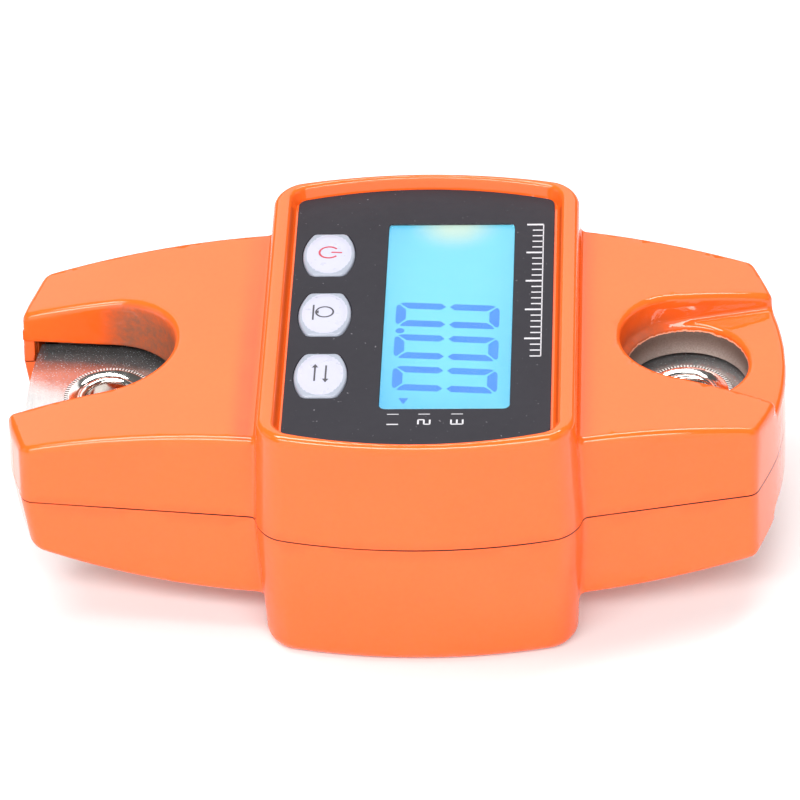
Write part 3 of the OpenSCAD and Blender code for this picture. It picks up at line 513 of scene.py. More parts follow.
def slab(name, outer, holes, z0, z1, mats, ch=0.08):
    """flat solid from a counter-clockwise outline and clockwise-free holes, with a small chamfer round every top edge"""
    bm = bmesh.new()
    tops, bots = [], []
    loops = [(np.asarray(outer, float), 1)] + [(np.asarray(h, float), -1) for h in holes]
    for lp, s in loops:
        n = len(lp)
        inner = loop_offset(lp, ch * s)
        vb = [bm.verts.new(place((q[0], q[1], z0))) for q in lp]
        vs = [bm.verts.new(place((q[0], q[1], z1 - ch))) for q in lp]
        vt = [bm.verts.new(place((q[0], q[1], z1))) for q in inner]
        for i in range(n):
            j = (i + 1) % n
            f1 = [vb[i], vb[j], vs[j], vs[i]]
            f2 = [vs[i], vs[j], vt[j], vt[i]]
            for f in (f1, f2):
                bm.faces.new(f if s > 0 else f[::-1])
        tops.append(vt)
        bots.append(vb)
    for group in (tops, bots):
        edges = []
        for lp in group:
            for i in range(len(lp)):
                e = bm.edges.get((lp[i], lp[(i + 1) % len(lp)]))
                edges.append(e)
        bmesh.ops.triangle_fill(bm, use_beauty=True, use_dissolve=False, edges=edges)
    bmesh.ops.recalc_face_normals(bm, faces=bm.faces)
    me = bpy.data.meshes.new(name)
    bm.to_mesh(me)
    bm.free()
    for m in mats:
        me.materials.append(m)
    me.polygons.foreach_set("use_smooth", np.full(len(me.polygons), True))
    o = bpy.data.objects.new(name, me)
    bpy.context.scene.collection.objects.link(o)
    auto_sharp(o, 30)
    return o


def rrect(x0, x1, y0, y1, r, n=10):
    pts = []
    for cx, cy, a0 in ((x1 - r, y1 - r, 0), (x0 + r, y1 - r, 90), (x0 + r, y0 + r, 180), (x1 - r, y0 + r, 270)):
        for i in range(n + 1):
            a = math.radians(a0 + 90 * i / n)
            pts.append((cx + r * math.cos(a), cy + r * math.sin(a)))
    return pts


def join(objs, name):
    """joins meshes into one object"""
    bm = bmesh.new()
    mats = []
    for o in objs:
        remap = []
        for m in o.data.materials:
            if m not in mats:
                mats.append(m)
            remap.append(mats.index(m))
        n0 = len(bm.faces)
        bm.from_mesh(o.data)
        bm.faces.ensure_lookup_table()
        for f in bm.faces[n0:]:
            f.material_index = remap[f.material_index]
    me = bpy.data.meshes.new(name)
    bm.to_mesh(me)
    bm.free()
    for m in mats:
        me.materials.append(m)
    for o in objs:
        bpy.data.objects.remove(o)
    o = bpy.data.objects.new(name, me)
    bpy.context.scene.collection.objects.link(o)
    return o


# ------------------------------------------------------------------ distance fields of the shells (mm)
def ri(a, b, r):
    """intersection with a rounded edge"""
    u = np.maximum(a + r, 0)
    v = np.maximum(b + r, 0)
    return np.minimum(-r, np.maximum(a, b)) + np.sqrt(u * u + v * v)


def ru(a, b, r):
    """union with a filleted joint"""
    u = np.maximum(r - a, 0)
    v = np.maximum(r - b, 0)
    return np.maximum(r, np.minimum(a, b)) - np.sqrt(u * u + v * v)


BHX, BHY, SAG = 32.7, 47.6, 4.9
ARC_R = (BHX * BHX + SAG * SAG) / (2 * SAG)
FRONT_H, REAR_H = 25.8, 29.1
WALL = 2.5
LEDGE_T, LEDGE_B = 11.6, -12.6
FAN_R, FAN_A = 13.5, math.radians(13)
HOLE_R = 12.4
WALL_LOW = 5.5


def f_block(x, y, z):
    az, ax, ay = np.abs(z), np.abs(x), np.abs(y)
    c, s = math.cos(math.radians(2.6)), math.sin(math.radians(2.6))
    d1 = (ax - BHX) * c + az * s
    yo = np.where(z > 0, 0.5 * np.minimum(z / 24, 1), z / 30)
    d2 = np.sqrt(x * x + (ay + ARC_R - BHY) ** 2) - ARC_R - yo
    d = ri(d1, d2, 5.6)
    d = ri(d, z - FRONT_H, 1.6)
    return ri(d, -z - REAR_H, 2.6)


def f_wing_r(x, y, z):
    az, ay = np.abs(z), np.abs(y)
    dx = np.maximum(x - BHX, 0)
    top = np.sqrt(dx * dx + (z + 161.1) ** 2) - 180
    bot = np.sqrt(dx * dx + (z - 145.0) ** 2) - 165
    k = 0.2116
    c = 1 / math.sqrt(1 + k * k)
    side = (ay - (37.1 - k * (x - BHX))) * c + az * 0.0175
    n = 5.6
    e = x - (68.0 + n * (1 - (y / 29.0) ** 2))
    end = e / np.sqrt(1 + (2 * n * y / 841.0) ** 2 + 0.03)
    # the corners are cut back by a flat
    flat = (x - 71.95 + 0.415 * (ay - 18.6)) / 1.0827
    d = ri(side, ri(end, flat, 1.0), 1.4)
    d = ri(d, top, 1.5)
    d = ri(d, bot, 1.8)
    return np.maximum(d, 8 - x)


def f_wing_l(x, y, z):
    az, ay = np.abs(z), np.abs(y)
    dx = np.maximum(-x - BHX, 0)
    top = np.sqrt(dx * dx + (z + 161.1) ** 2) - 180
    bot = np.sqrt(dx * dx + (z - 120.0) ** 2) - 140
    k = 0.115
    c = 1 / math.sqrt(1 + k * k)
    side = (ay - (36.4 - k * (-x - BHX))) * c + az * 0.0175
    end = (-x - (84.19 - y * y / 500.0 - np.where(z > 0, 0.03, 0.125) * az)) / np.sqrt(1 + (y / 250.0) ** 2)
    # the prongs end in a flat that runs back to the corner
    flat = (-x - (83.95 - np.where(z > 0, 0.03, 0.125) * az) + 0.306 * (ay - 17.3)) / 1.0458
    d = ri(side, ri(end, flat, 1.0), 1.8)
    d = ri(d, top, 1.5)
    d = ri(d, bot, 1.8)
    return np.maximum(d, 8 + x)


def f_outer(x, y, z):
    d = ru(f_block(x, y, z), f_wing_r(x, y, z), 1.1)
    return ru(d, f_wing_l(x, y, z), 1.1)


def f_slot(x, y, g=0.0):
    ay = np.abs(y)
    ca, sa = math.cos(SLOT_A), math.sin(SLOT_A)
    u = x - SLOT_X
    t = -u * ca + ay * sa
    return np.where(t > 0, ay * ca + u * sa, np.hypot(u, y)) - (SLOT_R + g)


def f_fan(x, y, g=0.0):
    ay = np.abs(y)
    ca, sa = math.cos(FAN_A), math.sin(FAN_A)
    u = x - EYE_R_X
    t = u * ca + ay * sa
    return np.where(t > 0, ay * ca - u * sa, np.hypot(u, y)) - (FAN_R + g)


def f_hole(x, y):
    return np.hypot(x - EYE_R_X, y) - HOLE_R


def f_panel(x, y):
    c, s = 26.65, 4.2
    r = (c * c + s * s) / (2 * s)
    return ri(np.abs(x) - c, np.sqrt(x * x + (np.abs(y) + r - 44.9) ** 2) - r, 1.6)


def f_key(x, y):
    d = np.maximum(np.hypot(x - 9.25, y), np.hypot(x + 9.25, y)) - 14.6
    return ri(d, np.abs(y) - 7.4, 0.8)


def f_body(x, y, z, front):
    """outer form with the slot, recess and hole cut out of it, edges eased"""
    d = f_outer(x, y, z)
    if front:
        d = ri(d, -np.maximum(f_panel(x, y) - 0.45 - 0.4 * np.maximum(z - 22.9, 0), 22.9 - z), 0.7)
        up, lip = z, 8.0
        cut = ri(f_fan(x, y), LEDGE_T - z, 1.1)
    else:
        up, lip = -z, 9.0
        cut = ri(f_fan(x, y), z - LEDGE_B, 1.1)
    d = ri(d, -cut, 1.45)
    soft = np.where(up > lip, 1.35, 0.45).astype(F32)
    d = ri(d, -f_hole(x, y), soft)
    soft = np.where(up > lip, 1.55, 0.5).astype(F32)
    return ri(d, -f_slot(x, y), soft)


def cyl(x, y, cx, cy, r):
    return np.hypot(x - cx, y - cy) - r


def f_cavity(x, y, z, front):
    """the hollow of a shell, without its bosses and inner walls"""
    ax, ay = np.abs(x), np.abs(y)
    o = f_outer(x, y, z) + WALL
    bb = cyl(ax, ay, 25.4, 36.6, 3.8)
    wb = np.minimum(cyl(x, ay, 46.5, 25.2, 3.7 if front else 4.3), cyl(x, ay, -45.5, 26.0, 3.7 if front else 4.3))
    if front:
        c = np.maximum(o, z - 20.4)
        w = np.maximum(f_slot(x, y, 2.4), WALL_LOW - z)
        w = np.minimum(w, np.maximum(f_fan(x, y, 2.4), LEDGE_T - 2.4 - z))
        w = np.minimum(w, np.maximum(cyl(x, y, EYE_R_X, 0, HOLE_R + 2.3), 4.5 - z))
        w = np.minimum(w, np.maximum(cyl(ax, ay, 16, 37.4, 2.8), 13.6 - z))
    else:
        c = np.maximum(o, -z - (REAR_H - WALL))
        w = np.maximum(f_slot(x, y, 2.4), z + 7.5)
        w = np.minimum(w, np.maximum(f_fan(x, y, 2.4), z - (LEDGE_B + 2.4)))
        w = np.minimum(w, np.maximum(cyl(x, y, EYE_R_X, 0, HOLE_R + 2.3), z + 6.5))
        w = np.minimum(w, np.maximum(cyl(x, ay, 36.5, 12, 5), z + 5))
        w = np.minimum(w, np.maximum(cyl(x, ay, 0, 31.6, 3), z + REAR_H - 10.9))
    w = np.minimum(np.minimum(w, bb), wb)
    c = ri(c, -w, 0.5)
    gap = np.maximum(np.maximum(x + 76, -80.9 - x), ay - 19.9)
    gap = np.maximum(np.minimum(gap, np.maximum(x + 78, ay - 17.2)), np.maximum(z - 5.5, -7.5 - z))
    return np.minimum(c, gap)


def f_shell(x, y, z, front):
    ax, ay = np.abs(x), np.abs(y)
    d = ri(f_body(x, y, z, front), -f_cavity(x, y, z, front), 0.4)
    if front:
        lcd = np.maximum(np.abs(x - 5.45) - 13.95, ay - 33.2)
        holes = np.minimum(lcd, f_key(x + 19.5, y) - 0.3)
        for j in (-21.0, 21.0):
            holes = np.minimum(holes, f_key(x + 19.5, y - j) - 0.3)
        d = ri(d, -np.maximum(holes, 17 - z), 0.3)
        s = np.minimum(np.maximum(cyl(ax, ay, 25.4, 36.6, 1.52), z - 14), np.maximum(cyl(ax, ay, 16, 37.4, 1.27), z - 19.6))
        s = np.minimum(s, np.maximum(np.minimum(cyl(x, ay, 46.5, 25.2, 1.52), cyl(x, ay, -45.5, 26, 1.52)), z - 10))
        d = np.maximum(d, -s)
    else:
        door = np.maximum(ax - 19.9, np.abs(y - 0.1) - 29.0)
        d = ri(d, -np.maximum(door, z + REAR_H - 3.5), 0.5)
        s = cyl(ax, ay, 25.4, 36.6, 1.7)
        s = np.minimum(s, np.minimum(cyl(x, ay, 46.5, 25.2, 1.7), cyl(x, ay, -45.5, 26, 1.7)))
        s = np.minimum(s, np.maximum(cyl(x, ay, 36.5, 12, 2.02), -17 - z))
        d = np.maximum(d, -s)
        h = np.maximum(cyl(ax, ay, 25.4, 36.6, 3.0), z + REAR_H - 9)
        h = np.minimum(h, np.maximum(np.minimum(cyl(x, ay, 46.5, 25.2, 3.0), cyl(x, ay, -45.5, 26, 3.0)), z + 15.5))
        d = ri(d, -h, 0.4)
    return d


def grad(f, p, h=0.02):
    g = np.empty_like(p)
    for i in range(3):
        a = p.copy(); a[:, i] += h
        b = p.copy(); b[:, i] -= h
        g[:, i] = (f(a[:, 0], a[:, 1], a[:, 2]) - f(b[:, 0], b[:, 1], b[:, 2])) / (2 * h)
    return g


def shell_mesh(name, front, pitch, adapt):
    """meshes one shell from its distance field, seats every vertex on the true surface, and cuts it at the parting plane"""
    f = lambda x, y, z: f_shell(x, y, z, front)
    lo = np.array([-85.2, -49.3, -1.6 if front else -REAR_H - 1.1])
    hi = np.array([74.9, 49.3, FRONT_H + 1.1 if front else 1.6])
    n = np.ceil((hi - lo) / pitch).astype(int) + 1
    xs = (lo[0] + pitch * np.arange(n[0])).astype(F32)
    ys = (lo[1] + pitch * np.arange(n[1])).astype(F32)
    zs = (lo[2] + pitch * np.arange(n[2])).astype(F32)
    vol = np.empty(tuple(n), F32)
    step = 24
    for i in range(0, n[0], step):
        X, Y, Z = np.meshgrid(xs[i:i + step], ys, zs, indexing="ij")
        vol[i:i + step] = f(X, Y, Z)
    vol = np.clip(vol / pitch, -3.0, 3.0).astype(F32)
    grid = vdb.FloatGrid(3.0)
    grid.copyFromArray(vol)
    p, tri, quad = grid.convertToPolygons(isovalue=0.0, adaptivity=adapt)
    p = np.asarray(p, float) * pitch + lo
    faces = [tuple(t[::-1]) for t in np.asarray(tri, int)] + [tuple(q[::-1]) for q in np.asarray(quad, int)]
    for _ in range(3):
        v = f(p[:, 0], p[:, 1], p[:, 2])
        g = grad(f, p)
        s = (g * g).sum(1)
        stepv = np.clip(v / np.maximum(s, 0.25), -0.3, 0.3)
        p = p - g * stepv[:, None]
    me = bpy.data.meshes.new(name)
    me.from_pydata(p.tolist(), [], faces)
    bm = bmesh.new()
    bm.from_mesh(me)
    cut = 0.1 if front else -0.1
    no = (0, 0, 1) if front else (0, 0, -1)
    geom = list(bm.verts) + list(bm.edges) + list(bm.faces)
    res = bmesh.ops.bisect_plane(bm, geom=geom, dist=0.02, plane_co=(0, 0, cut), plane_no=no, clear_inner=True)
    rim = [e for e in bm.edges if len(e.link_faces) == 1]
    before = set(bm.faces)
    bmesh.ops.triangle_fill(bm, use_beauty=True, use_dissolve=False, edges=rim)
    caps = [fc for fc in bm.faces if fc not in before]
    for fc in caps:
        fc.smooth = False
    bmesh.ops.recalc_face_normals(bm, faces=bm.faces)
    cap_idx = None
    bm.faces.index_update()
    cap_idx = {fc.index for fc in caps}
    bm.to_mesh(me)
    bm.free()
    # finish: paint outside, raw casting inside
    nv = len(me.vertices)
    co = np.empty(nv * 3, np.float64)
    me.vertices.foreach_get("co", co)
    co = co.reshape(-1, 3)
    nf = len(me.polygons)
    cen = np.empty(nf * 3); me.polygons.foreach_get("center", cen); cen = cen.reshape(-1, 3)
    cav = f_cavity(cen[:, 0], cen[:, 1], cen[:, 2], front)
    body = f_body(cen[:, 0], cen[:, 1], cen[:, 2], front)
    inner = (np.abs(cav) < 0.3) & (body < -0.3) & (cen[:, 0] > -79.4)
    if front:
        under = (cen[:, 2] < 22.0) & (cen[:, 2] > 16) & (f_panel(cen[:, 0], cen[:, 1]) < -1.5)
        inner |= under
    me.materials.append(M_ENAMEL)
    me.materials.append(M_CAST)
    me.polygons.foreach_set("material_index", inner.astype(np.int32))
    g = grad(f, co, 0.03)
    g /= np.linalg.norm(g, axis=1)[:, None] + 1e-9
    me.polygons.foreach_set("use_smooth", np.full(nf, True))
    nl = len(me.loops)
    lv = np.empty(nl, np.int32); me.loops.foreach_get("vertex_index", lv)
    ln = g[lv]
    ls = np.empty(nf, np.int32); me.polygons.foreach_get("loop_start", ls)
    lt = np.empty(nf, np.int32); me.polygons.foreach_get("loop_total", lt)
    fn = np.empty(nf * 3); me.polygons.foreach_get("normal", fn); fn = fn.reshape(-1, 3)
    face_of = np.repeat(np.arange(nf), lt)
    # where the field's normal and the face disagree strongly, a crisp edge: use the face's own normal
    dot = (ln * fn[face_of]).sum(1)
    iscap = np.zeros(nf, bool); iscap[list(cap_idx)] = True
    use_face = (dot < 0.55) | iscap[face_of]
    ln[use_face] = fn[face_of][use_face]
    pc = place(co)
    pc = np.clip(pc, np.array(CAD_BOX[0]) + 1e-5, np.array(CAD_BOX[1]) - 1e-5)
    me.vertices.foreach_set("co", pc.ravel())
    me.normals_split_custom_set(ln.tolist())
    me.update()
    o = bpy.data.objects.new(name, me)
    bpy.context.scene.collection.objects.link(o)
    print("SHELL", name, nv, "verts", nf, "faces", int((lt - 2).sum()), "triangles")
    return o


PITCH = 0.38
front = shell_mesh("front_shell", True, PITCH, 0.02)
rear = shell_mesh("rear_shell", False, PITCH, 0.02)
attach(front, "housing"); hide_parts("front_housing")
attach(rear, "housing"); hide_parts("rear_housing")

# ------------------------------------------------------------------ face panel, window, printed marks
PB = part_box("face_panel")
PZ0, PZ1 = PB[0].z * 1000 - SZ, PB[1].z * 1000 - SZ


def outline(fn, r0=60.0, n=220):
    """outline of a star-shaped plan field round its centre, found along rays"""
    th = np.linspace(0, 2 * np.pi, n, endpoint=False)
    lo, hi = np.zeros(n), np.full(n, r0)
    for _ in range(40):
        m = (lo + hi) / 2
        ins = fn(m * np.cos(th), m * np.sin(th)) < 0
        lo = np.where(ins, m, lo)
        hi = np.where(ins, hi, m)
    r = (lo + hi) / 2
    return np.c_[r * np.cos(th), r * np.sin(th)]


WX0, WX1, WHY = -7.5, 18.4, 32.2
panel_out = outline(lambda a, b: f_panel(a, b) + 0.12, 60, 480)
win_hole = rrect(WX0, WX1, -WHY, WHY, 1.3)
key_holes = [outline(lambda a, b: f_key(a, b) - 0.12, 12, 120) + np.array([-19.5, j]) for j in (21.0, 0.0, -21.0)]
panel = slab("panel_overlay", panel_out, [win_hole] + [k for k in key_holes], PZ0, PZ1, [M_PANEL], 0.10)
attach(panel, "housing"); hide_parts("face_panel")

window = slab("window_film", rrect(WX0 + 0.08, WX1 - 0.08, -WHY + 0.08, WHY - 0.08, 1.25), [], PZ0, PZ1 - 0.05, [M_CLEAR], 0.05)
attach(window, "housing"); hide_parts("display_window")


def ribbons(name, strokes, zf, mats, mat_index, lift=0.012, thick=0.03):
    """printed marks: each stroke is (points, width) drawn as a thin raised ribbon, or ('poly', points) as a filled patch"""
    V, Fc, MI = [], [], []
    for k, st in enumerate(strokes):
        if st[0] == "poly":
            P = np.asarray(st[1], float)
            n = len(P)
            base = len(V)
            for dz in (0.0, thick):
                for q in P:
                    V.append((q[0], q[1], zf(q[0], q[1]) + lift + dz - thick))
            Fc.append(list(range(base + n, base + 2 * n)))
            Fc.append(list(range(base + n - 1, base - 1, -1)))
            for i in range(n):
                j = (i + 1) % n
                Fc.append([base + i, base + j, base + n + j, base + n + i])
            MI += [mat_index[k]] * (n + 2)
        else:
            P, w = np.asarray(st[0], float), st[1]
            closed = len(st) > 2 and st[2]
            n = len(P)
            d = (np.roll(P, -1, 0) - np.roll(P, 1, 0)) if closed else np.gradient(P, axis=0)
            d /= np.linalg.norm(d, axis=1)[:, None] + 1e-9
            nn = np.c_[-d[:, 1], d[:, 0]]
            L, R = P + nn * w / 2, P - nn * w / 2
            base = len(V)
            for i in range(n):
                for q, dz in ((L[i], 0), (R[i], 0), (R[i], thick), (L[i], thick)):
                    V.append((q[0], q[1], zf(q[0], q[1]) + lift + dz - thick))
            m = n if closed else n - 1
            for i in range(m):
                a, b = base + 4 * i, base + 4 * ((i + 1) % n)
                Fc += [[a + 3, a + 2, b + 2, b + 3], [a + 0, b + 0, b + 1, a + 1], [a + 0, a + 3, b + 3, b + 0], [a + 2, a + 1, b + 1, b + 2]]
                MI += [mat_index[k]] * 4
            if not closed:
                a, b = base, base + 4 * (n - 1)
                Fc += [[a, a + 1, a + 2, a + 3], [b + 3, b + 2, b + 1, b]]
                MI += [mat_index[k]] * 2
    o = mesh_obj(name, V, Fc, mats, smooth=False, mat_index=MI)
    outward(o)
    return o


# graduation strip where the real face has wording: plain ticks, long at every fifth, with a fine rule
marks = [([(24.3, 31.6), (24.3, -14.6)], 0.22)]
for i in range(24):
    yy = 31.6 - i * 46.2 / 23
    ln_ = 3.4 if i % 5 == 0 else (2.2)
    marks.append(([(24.3, yy), (24.3 - ln_, yy)], 0.55 if i % 5 == 0 else 0.38))


def digit(ch, cx, cy, h, w, t):
    """seven-bar numeral for the face print; its top points to +x, it reads towards -y"""
    seg = {"1": "bc", "2": "abged", "3": "abgcd"}[ch]
    S = {"a": ((h / 2, w / 2), (h / 2, -w / 2)), "g": ((0, w / 2), (0, -w / 2)), "d": ((-h / 2, w / 2), (-h / 2, -w / 2)),
         "b": ((h / 2, -w / 2), (0, -w / 2)), "c": ((0, -w / 2), (-h / 2, -w / 2)),
         "f": ((h / 2, w / 2), (0, w / 2)), "e": ((0, w / 2), (-h / 2, w / 2))}
    return [([(cx + a[0] * 1.0, cy + a[1]), (cx + b[0] * 1.0, cy + b[1])], t) for a, b in (S[s] for s in seg)]


for ch, cx in (("1", -4.6), ("2", 1.6), ("3", 8.1)):
    marks += digit(ch, cx, -36.6, 2.3, 1.5, 0.34)
    marks.append(([(cx - 1.15, -34.0), (cx + 1.15, -34.0)], 0.22))
prints = ribbons("panel_marks", marks, lambda a, b: PZ1, [M_INK], [0] * len(marks))
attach(prints, "housing")

# ------------------------------------------------------------------ display
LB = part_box("lcd_glass")
LZ1 = LB[1].z * 1000 - SZ
lcd = slab("lcd_cell", rrect(LB[0].x * 1000 - SX, LB[1].x * 1000 - SX, LB[0].y * 1000, LB[1].y * 1000, 0.3, 3), [],
           LB[0].z * 1000 - SZ, LZ1, [M_LCD], 0.15)
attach(lcd, "housing"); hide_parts("lcd_glass")

# figures of seven bars on the display: tops point to +x, they read towards -y and lean over by the slant
FX0, FA, FB, FT, SLANT = -5.2, 21.0, 8.15, 2.05, 0.072


def figure_zero(y_far):
    """every bar but the middle one; a runs up the figure, b across it"""
    A, B, t, g = FA, FB, FT, 0.19
    m = A / 2
    out = []
    for side in (0, 1):                       # far side, near side
        fb = (lambda q: q) if side == 0 else (lambda q: B - q)
        rnd = 0.30 if side == 0 else 0.0
        for up in (0, 1):                     # lower half, upper half
            fa = (lambda q: q) if up == 0 else (lambda q: A - q)
            pts = [(0.62 + g, 0.50 - g + 0.1), (1.15 + g, 0.12), (2.0, 0.0), (m - 1.35, 0.0), (m - 0.38, t / 2),
                   (m - 1.35, t), (t + 0.35 + g, t), (1.5, 1.28 - g)]
            if side == 1 and up == 0 or side == 1 and up == 1:
                pts[0], pts[1] = (0.78 + g, 0.22 - g + 0.12), (1.15 + g, 0.0)
            out.append([(fa(p[0]), fb(p[1])) for p in pts])
    for up in (0, 1):                         # the two short bars across the ends
        fa = (lambda q: q) if up == 0 else (lambda q: A - q)
        pts = [(0.42, 0.88), (0.14, 1.25), (0.0, 1.9), (0.0, B - 1.7), (0.12, B - 1.05), (0.4, B - 0.66), (0.75, B - 0.75),
               (t, B - t - 0.42), (t, t + 0.42), (0.75, 0.82)]
        out.append([(fa(p[0]), p[1]) for p in pts])
    return [("poly", [(FX0 + p[0], y_far - p[1] - SLANT * p[0]) for p in q]) for q in out]


figs = []
for y_far in (5.2, -5.83, -16.72):
    figs += figure_zero(y_far)
figs.append(("poly", [(-4.17 + 0.9 * math.cos(a), -4.72 + 0.86 * math.sin(a)) for a in np.linspace(0, 2 * math.pi, 24, endpoint=False)]))
figs.append(("poly", [(-3.76, -27.72), (-1.79, -27.72), (-2.74, -29.75)]))
segs = ribbons("lcd_segments", figs, lambda a, b: LZ1, [M_SEG], [0] * len(figs), lift=0.03, thick=0.03)
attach(segs, "housing")

# ------------------------------------------------------------------ keys
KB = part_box("tare_button")
KZ1 = KB[1].z * 1000 - SZ


def key_h(x, y):
    """height of the key's face over its plan, mm: eased edge, flat rim, shallow groove, oval dome"""
    d = -f_key(np.asarray(x, float), np.asarray(y, float))
    rho = np.sqrt((np.asarray(x) / 4.6) ** 2 + (np.asarray(y) / 6.8) ** 2)
    rim = KZ1 - 0.42 - 0.45 * np.exp(-(np.maximum(d, 0) / 0.16))
    dome = KZ1 - 0.50 + 0.50 * np.sqrt(np.maximum(0, 1 - (rho * 0.97) ** 2.0)) ** 1.2
    t = np.clip((1.02 - rho) / 0.16, 0, 1)
    t = t * t * (3 - 2 * t)
    return rim * (1 - t) + np.maximum(dome, rim - 0.08) * t


def key_piece(name, yc):
    n = 144
    th = np.linspace(0, 2 * np.pi, n, endpoint=False)
    o = outline(lambda a, b: f_key(a, b), 12, n)
    fr = [1.0, 0.992, 0.98, 0.96, 0.935, 0.91, 0.885, 0.86, 0.835, 0.81, 0.78, 0.74, 0.68, 0.6, 0.5, 0.4, 0.3, 0.2, 0.1]
    V, Fc, MI = [], [], []
    rings = []
    g = outline(lambda a, b: f_key(a, b) - 0.75, 13, n)
    zb = KB[0].z * 1000 - SZ
    for z, pts in ((19.1, g), (20.25, g), (20.25, o), (KZ1 - 0.86, o)):
        rings.append([(p[0], p[1], z) for p in pts])
    for t in fr[1:]:
        P = o * t
        rings.append([(p[0], p[1], float(key_h(p[0], p[1]))) for p in P])
    for r in rings:
        V += r
    m = len(rings)
    for k in range(m - 1):
        for i in range(n):
            j = (i + 1) % n
            Fc.append([k * n + i, k * n + j, (k + 1) * n + j, (k + 1) * n + i])
            c = V[(k + 1) * n + i]
            rho = math.hypot(c[0] / 4.6, c[1] / 6.8)
            MI.append(0 if rho < 0.99 else 1)
    V.append((0, 0, float(key_h(0, 0))))
    for i in range(n):
        Fc.append([(m - 1) * n + i, (m - 1) * n + (i + 1) % n, len(V) - 1]); MI.append(0)
    # underside with the foot that meets the switch
    foot = []
    for r_, z in ((3.0, 19.1), (2.0, 18.8), (2.0, zb), (1.7, zb)):
        foot.append([(r_ * math.cos(a), r_ * math.sin(a), z) for a in th])
    b0 = len(V)
    for r in foot:
        V += r
    for i in range(n):
        j = (i + 1) % n
        Fc.append([0 + j, 0 + i, b0 + i, b0 + j]); MI.append(1)
        for k in range(3):
            Fc.append([b0 + k * n + j, b0 + k * n + i, b0 + (k + 1) * n + i, b0 + (k + 1) * n + j]); MI.append(1)
    Fc.append([b0 + 3 * n + i for i in range(n)]); MI.append(1)
    V = [(v[0] - 19.5, v[1] + yc, v[2]) for v in V]
    ob = mesh_obj(name, V, Fc, [M_KEY, M_KEYRIM], True, MI)
    outward(ob)
    auto_sharp(ob, 50)
    return ob


def arc(cx, cy, r, a0, a1, n=24):
    return [(cx + r * math.cos(math.radians(a0 + (a1 - a0) * i / (n - 1))), cy + r * math.sin(math.radians(a0 + (a1 - a0) * i / (n - 1)))) for i in range(n)]


# pictograms, upright when the display reads upright (their tops point to +x)
ICONS = {
    "power": ([(arc(0, 0, 1.95, 38, 322, 40), 0.42), ([(0.5, 0), (1.5, 0), (2.7, 0)], 0.42)], 0),
    "tare": ([([(1.5, 1.3), (0.5, 1.3), (-0.5, 1.3), (-1.5, 1.3)], 0.36)] * 0
             + [(arc(0, 0, 1.75, 0, 360, 40)[:-1], 0.36, True), ([(-2.3, 2.6), (-2.3, 1.2), (-2.3, 0), (-2.3, -1.2), (-2.3, -2.6)], 0.36),
                ("poly", [(-2.0, 0.0), (-1.2, 0.55), (-1.2, -0.55)])], 1),
    "unit": ([([(1.1, 2.6), (1.1, 1.0), (1.1, -1.0), (1.1, -2.4)], 0.36), ("poly", [(1.75, -1.9), (1.1, -3.1), (0.45, -1.9)]),
              ([(-1.1, -2.6), (-1.1, -1.0), (-1.1, 1.0), (-1.1, 2.4)], 0.36), ("poly", [(-0.45, 1.9), (-1.1, 3.1), (-1.75, 1.9)])], 1),
}
for kname, yc in (("power", 21.0), ("tare", 0.0), ("unit", -21.0)):
    kp = key_piece(kname + "_key_cap", yc)
    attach(kp, kname + "_key"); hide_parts(kname + "_button")
    st, mi = ICONS[kname]
    moved = []
    for s in st:
        if s[0] == "poly":
            moved.append(("poly", [(p[0] - 19.5, p[1] + yc) for p in s[1]]))
        else:
            pts = s[0]
            moved.append(tuple([[(p[0] - 19.5, p[1] + yc) for p in pts]] + list(s[1:])))
    ic = ribbons(kname + "_key_mark", moved, lambda a, b, yc=yc: float(key_h(a + 19.5, b - yc)), [M_INK_RED, M_INK_DARK], [mi] * len(moved), lift=0.02, thick=0.04)
    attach(ic, kname + "_key")

# ------------------------------------------------------------------ eye bushings with a knurled edge
# painted shade in the notches of the knurl, and a painted highlight on the teeth between them
M_KNURL_SHADE = simple("knurl_groove_painted_shade", (0.055, 0.05, 0.048), 0.5, 0.6, 0.2, 900, 0.1, 900, 0.3, 2600, 0.00004)
M_KNURL_HIGHLIGHT = simple("knurl_tooth_painted_highlight", (0.93, 0.91, 0.89), 0.42, 0.35, 0.04, 900, 0.08, 900, 0.3, 2600, 0.00003)


def bushing_mesh(name, cx, top):
    s = 1 if top else -1
    z0 = CELL_TOP if top else CELL_LOW
    prof = [(7.5, -4.0), (7.5, 0.0), (9.18, 0.0), (9.40, 0.10), (9.40, 0.60), (9.35, 0.80), (9.24, 0.90), (8.52, 0.97), (8.38, 0.95), (7.95, 0.80),
            (7.10, 0.62), (6.86, 0.42), (6.72, 0.30), (6.58, 0.30), (6.46, 0.42), (6.36, 0.72), (6.22, 0.88), (6.02, 0.955), (5.80, 0.95),
            (5.5, 0.86), (5.22, 0.66), (5.06, 0.40), (5.0, 0.1), (5.0, -4.0)]
    notch = {4: 0.34, 5: 0.42, 6: 0.42}
    teeth, per = 84, 8
    n = teeth * per
    V, Fc = [], []
    for k, (r, z) in enumerate(prof):
        for i in range(n):
            a = 2 * math.pi * i / n
            cut = notch.get(k, 0) if i % per in (1, 2, 3) else 0.0
            rr, zc = r - cut * 0.4, z - cut
            V.append((cx + rr * math.cos(a), rr * math.sin(a), z0 + s * zc))
    m = len(prof)
    MI = []
    for k in range(m):
        k2 = (k + 1) % m
        for i in range(n):
            j = (i + 1) % n
            Fc.append([k * n + i, k * n + j, k2 * n + j, k2 * n + i])
            # notched faces get the painted shade, the teeth between them the painted highlight
            MI.append((1 if i % per in (0, 1, 2, 3) else 2) if k in (4, 5, 6) else 0)
    o = mesh_obj(name, V, Fc, [M_NICKEL, M_KNURL_SHADE, M_KNURL_HIGHLIGHT], True, MI)
    outward(o)
    auto_sharp(o, 55)
    return o


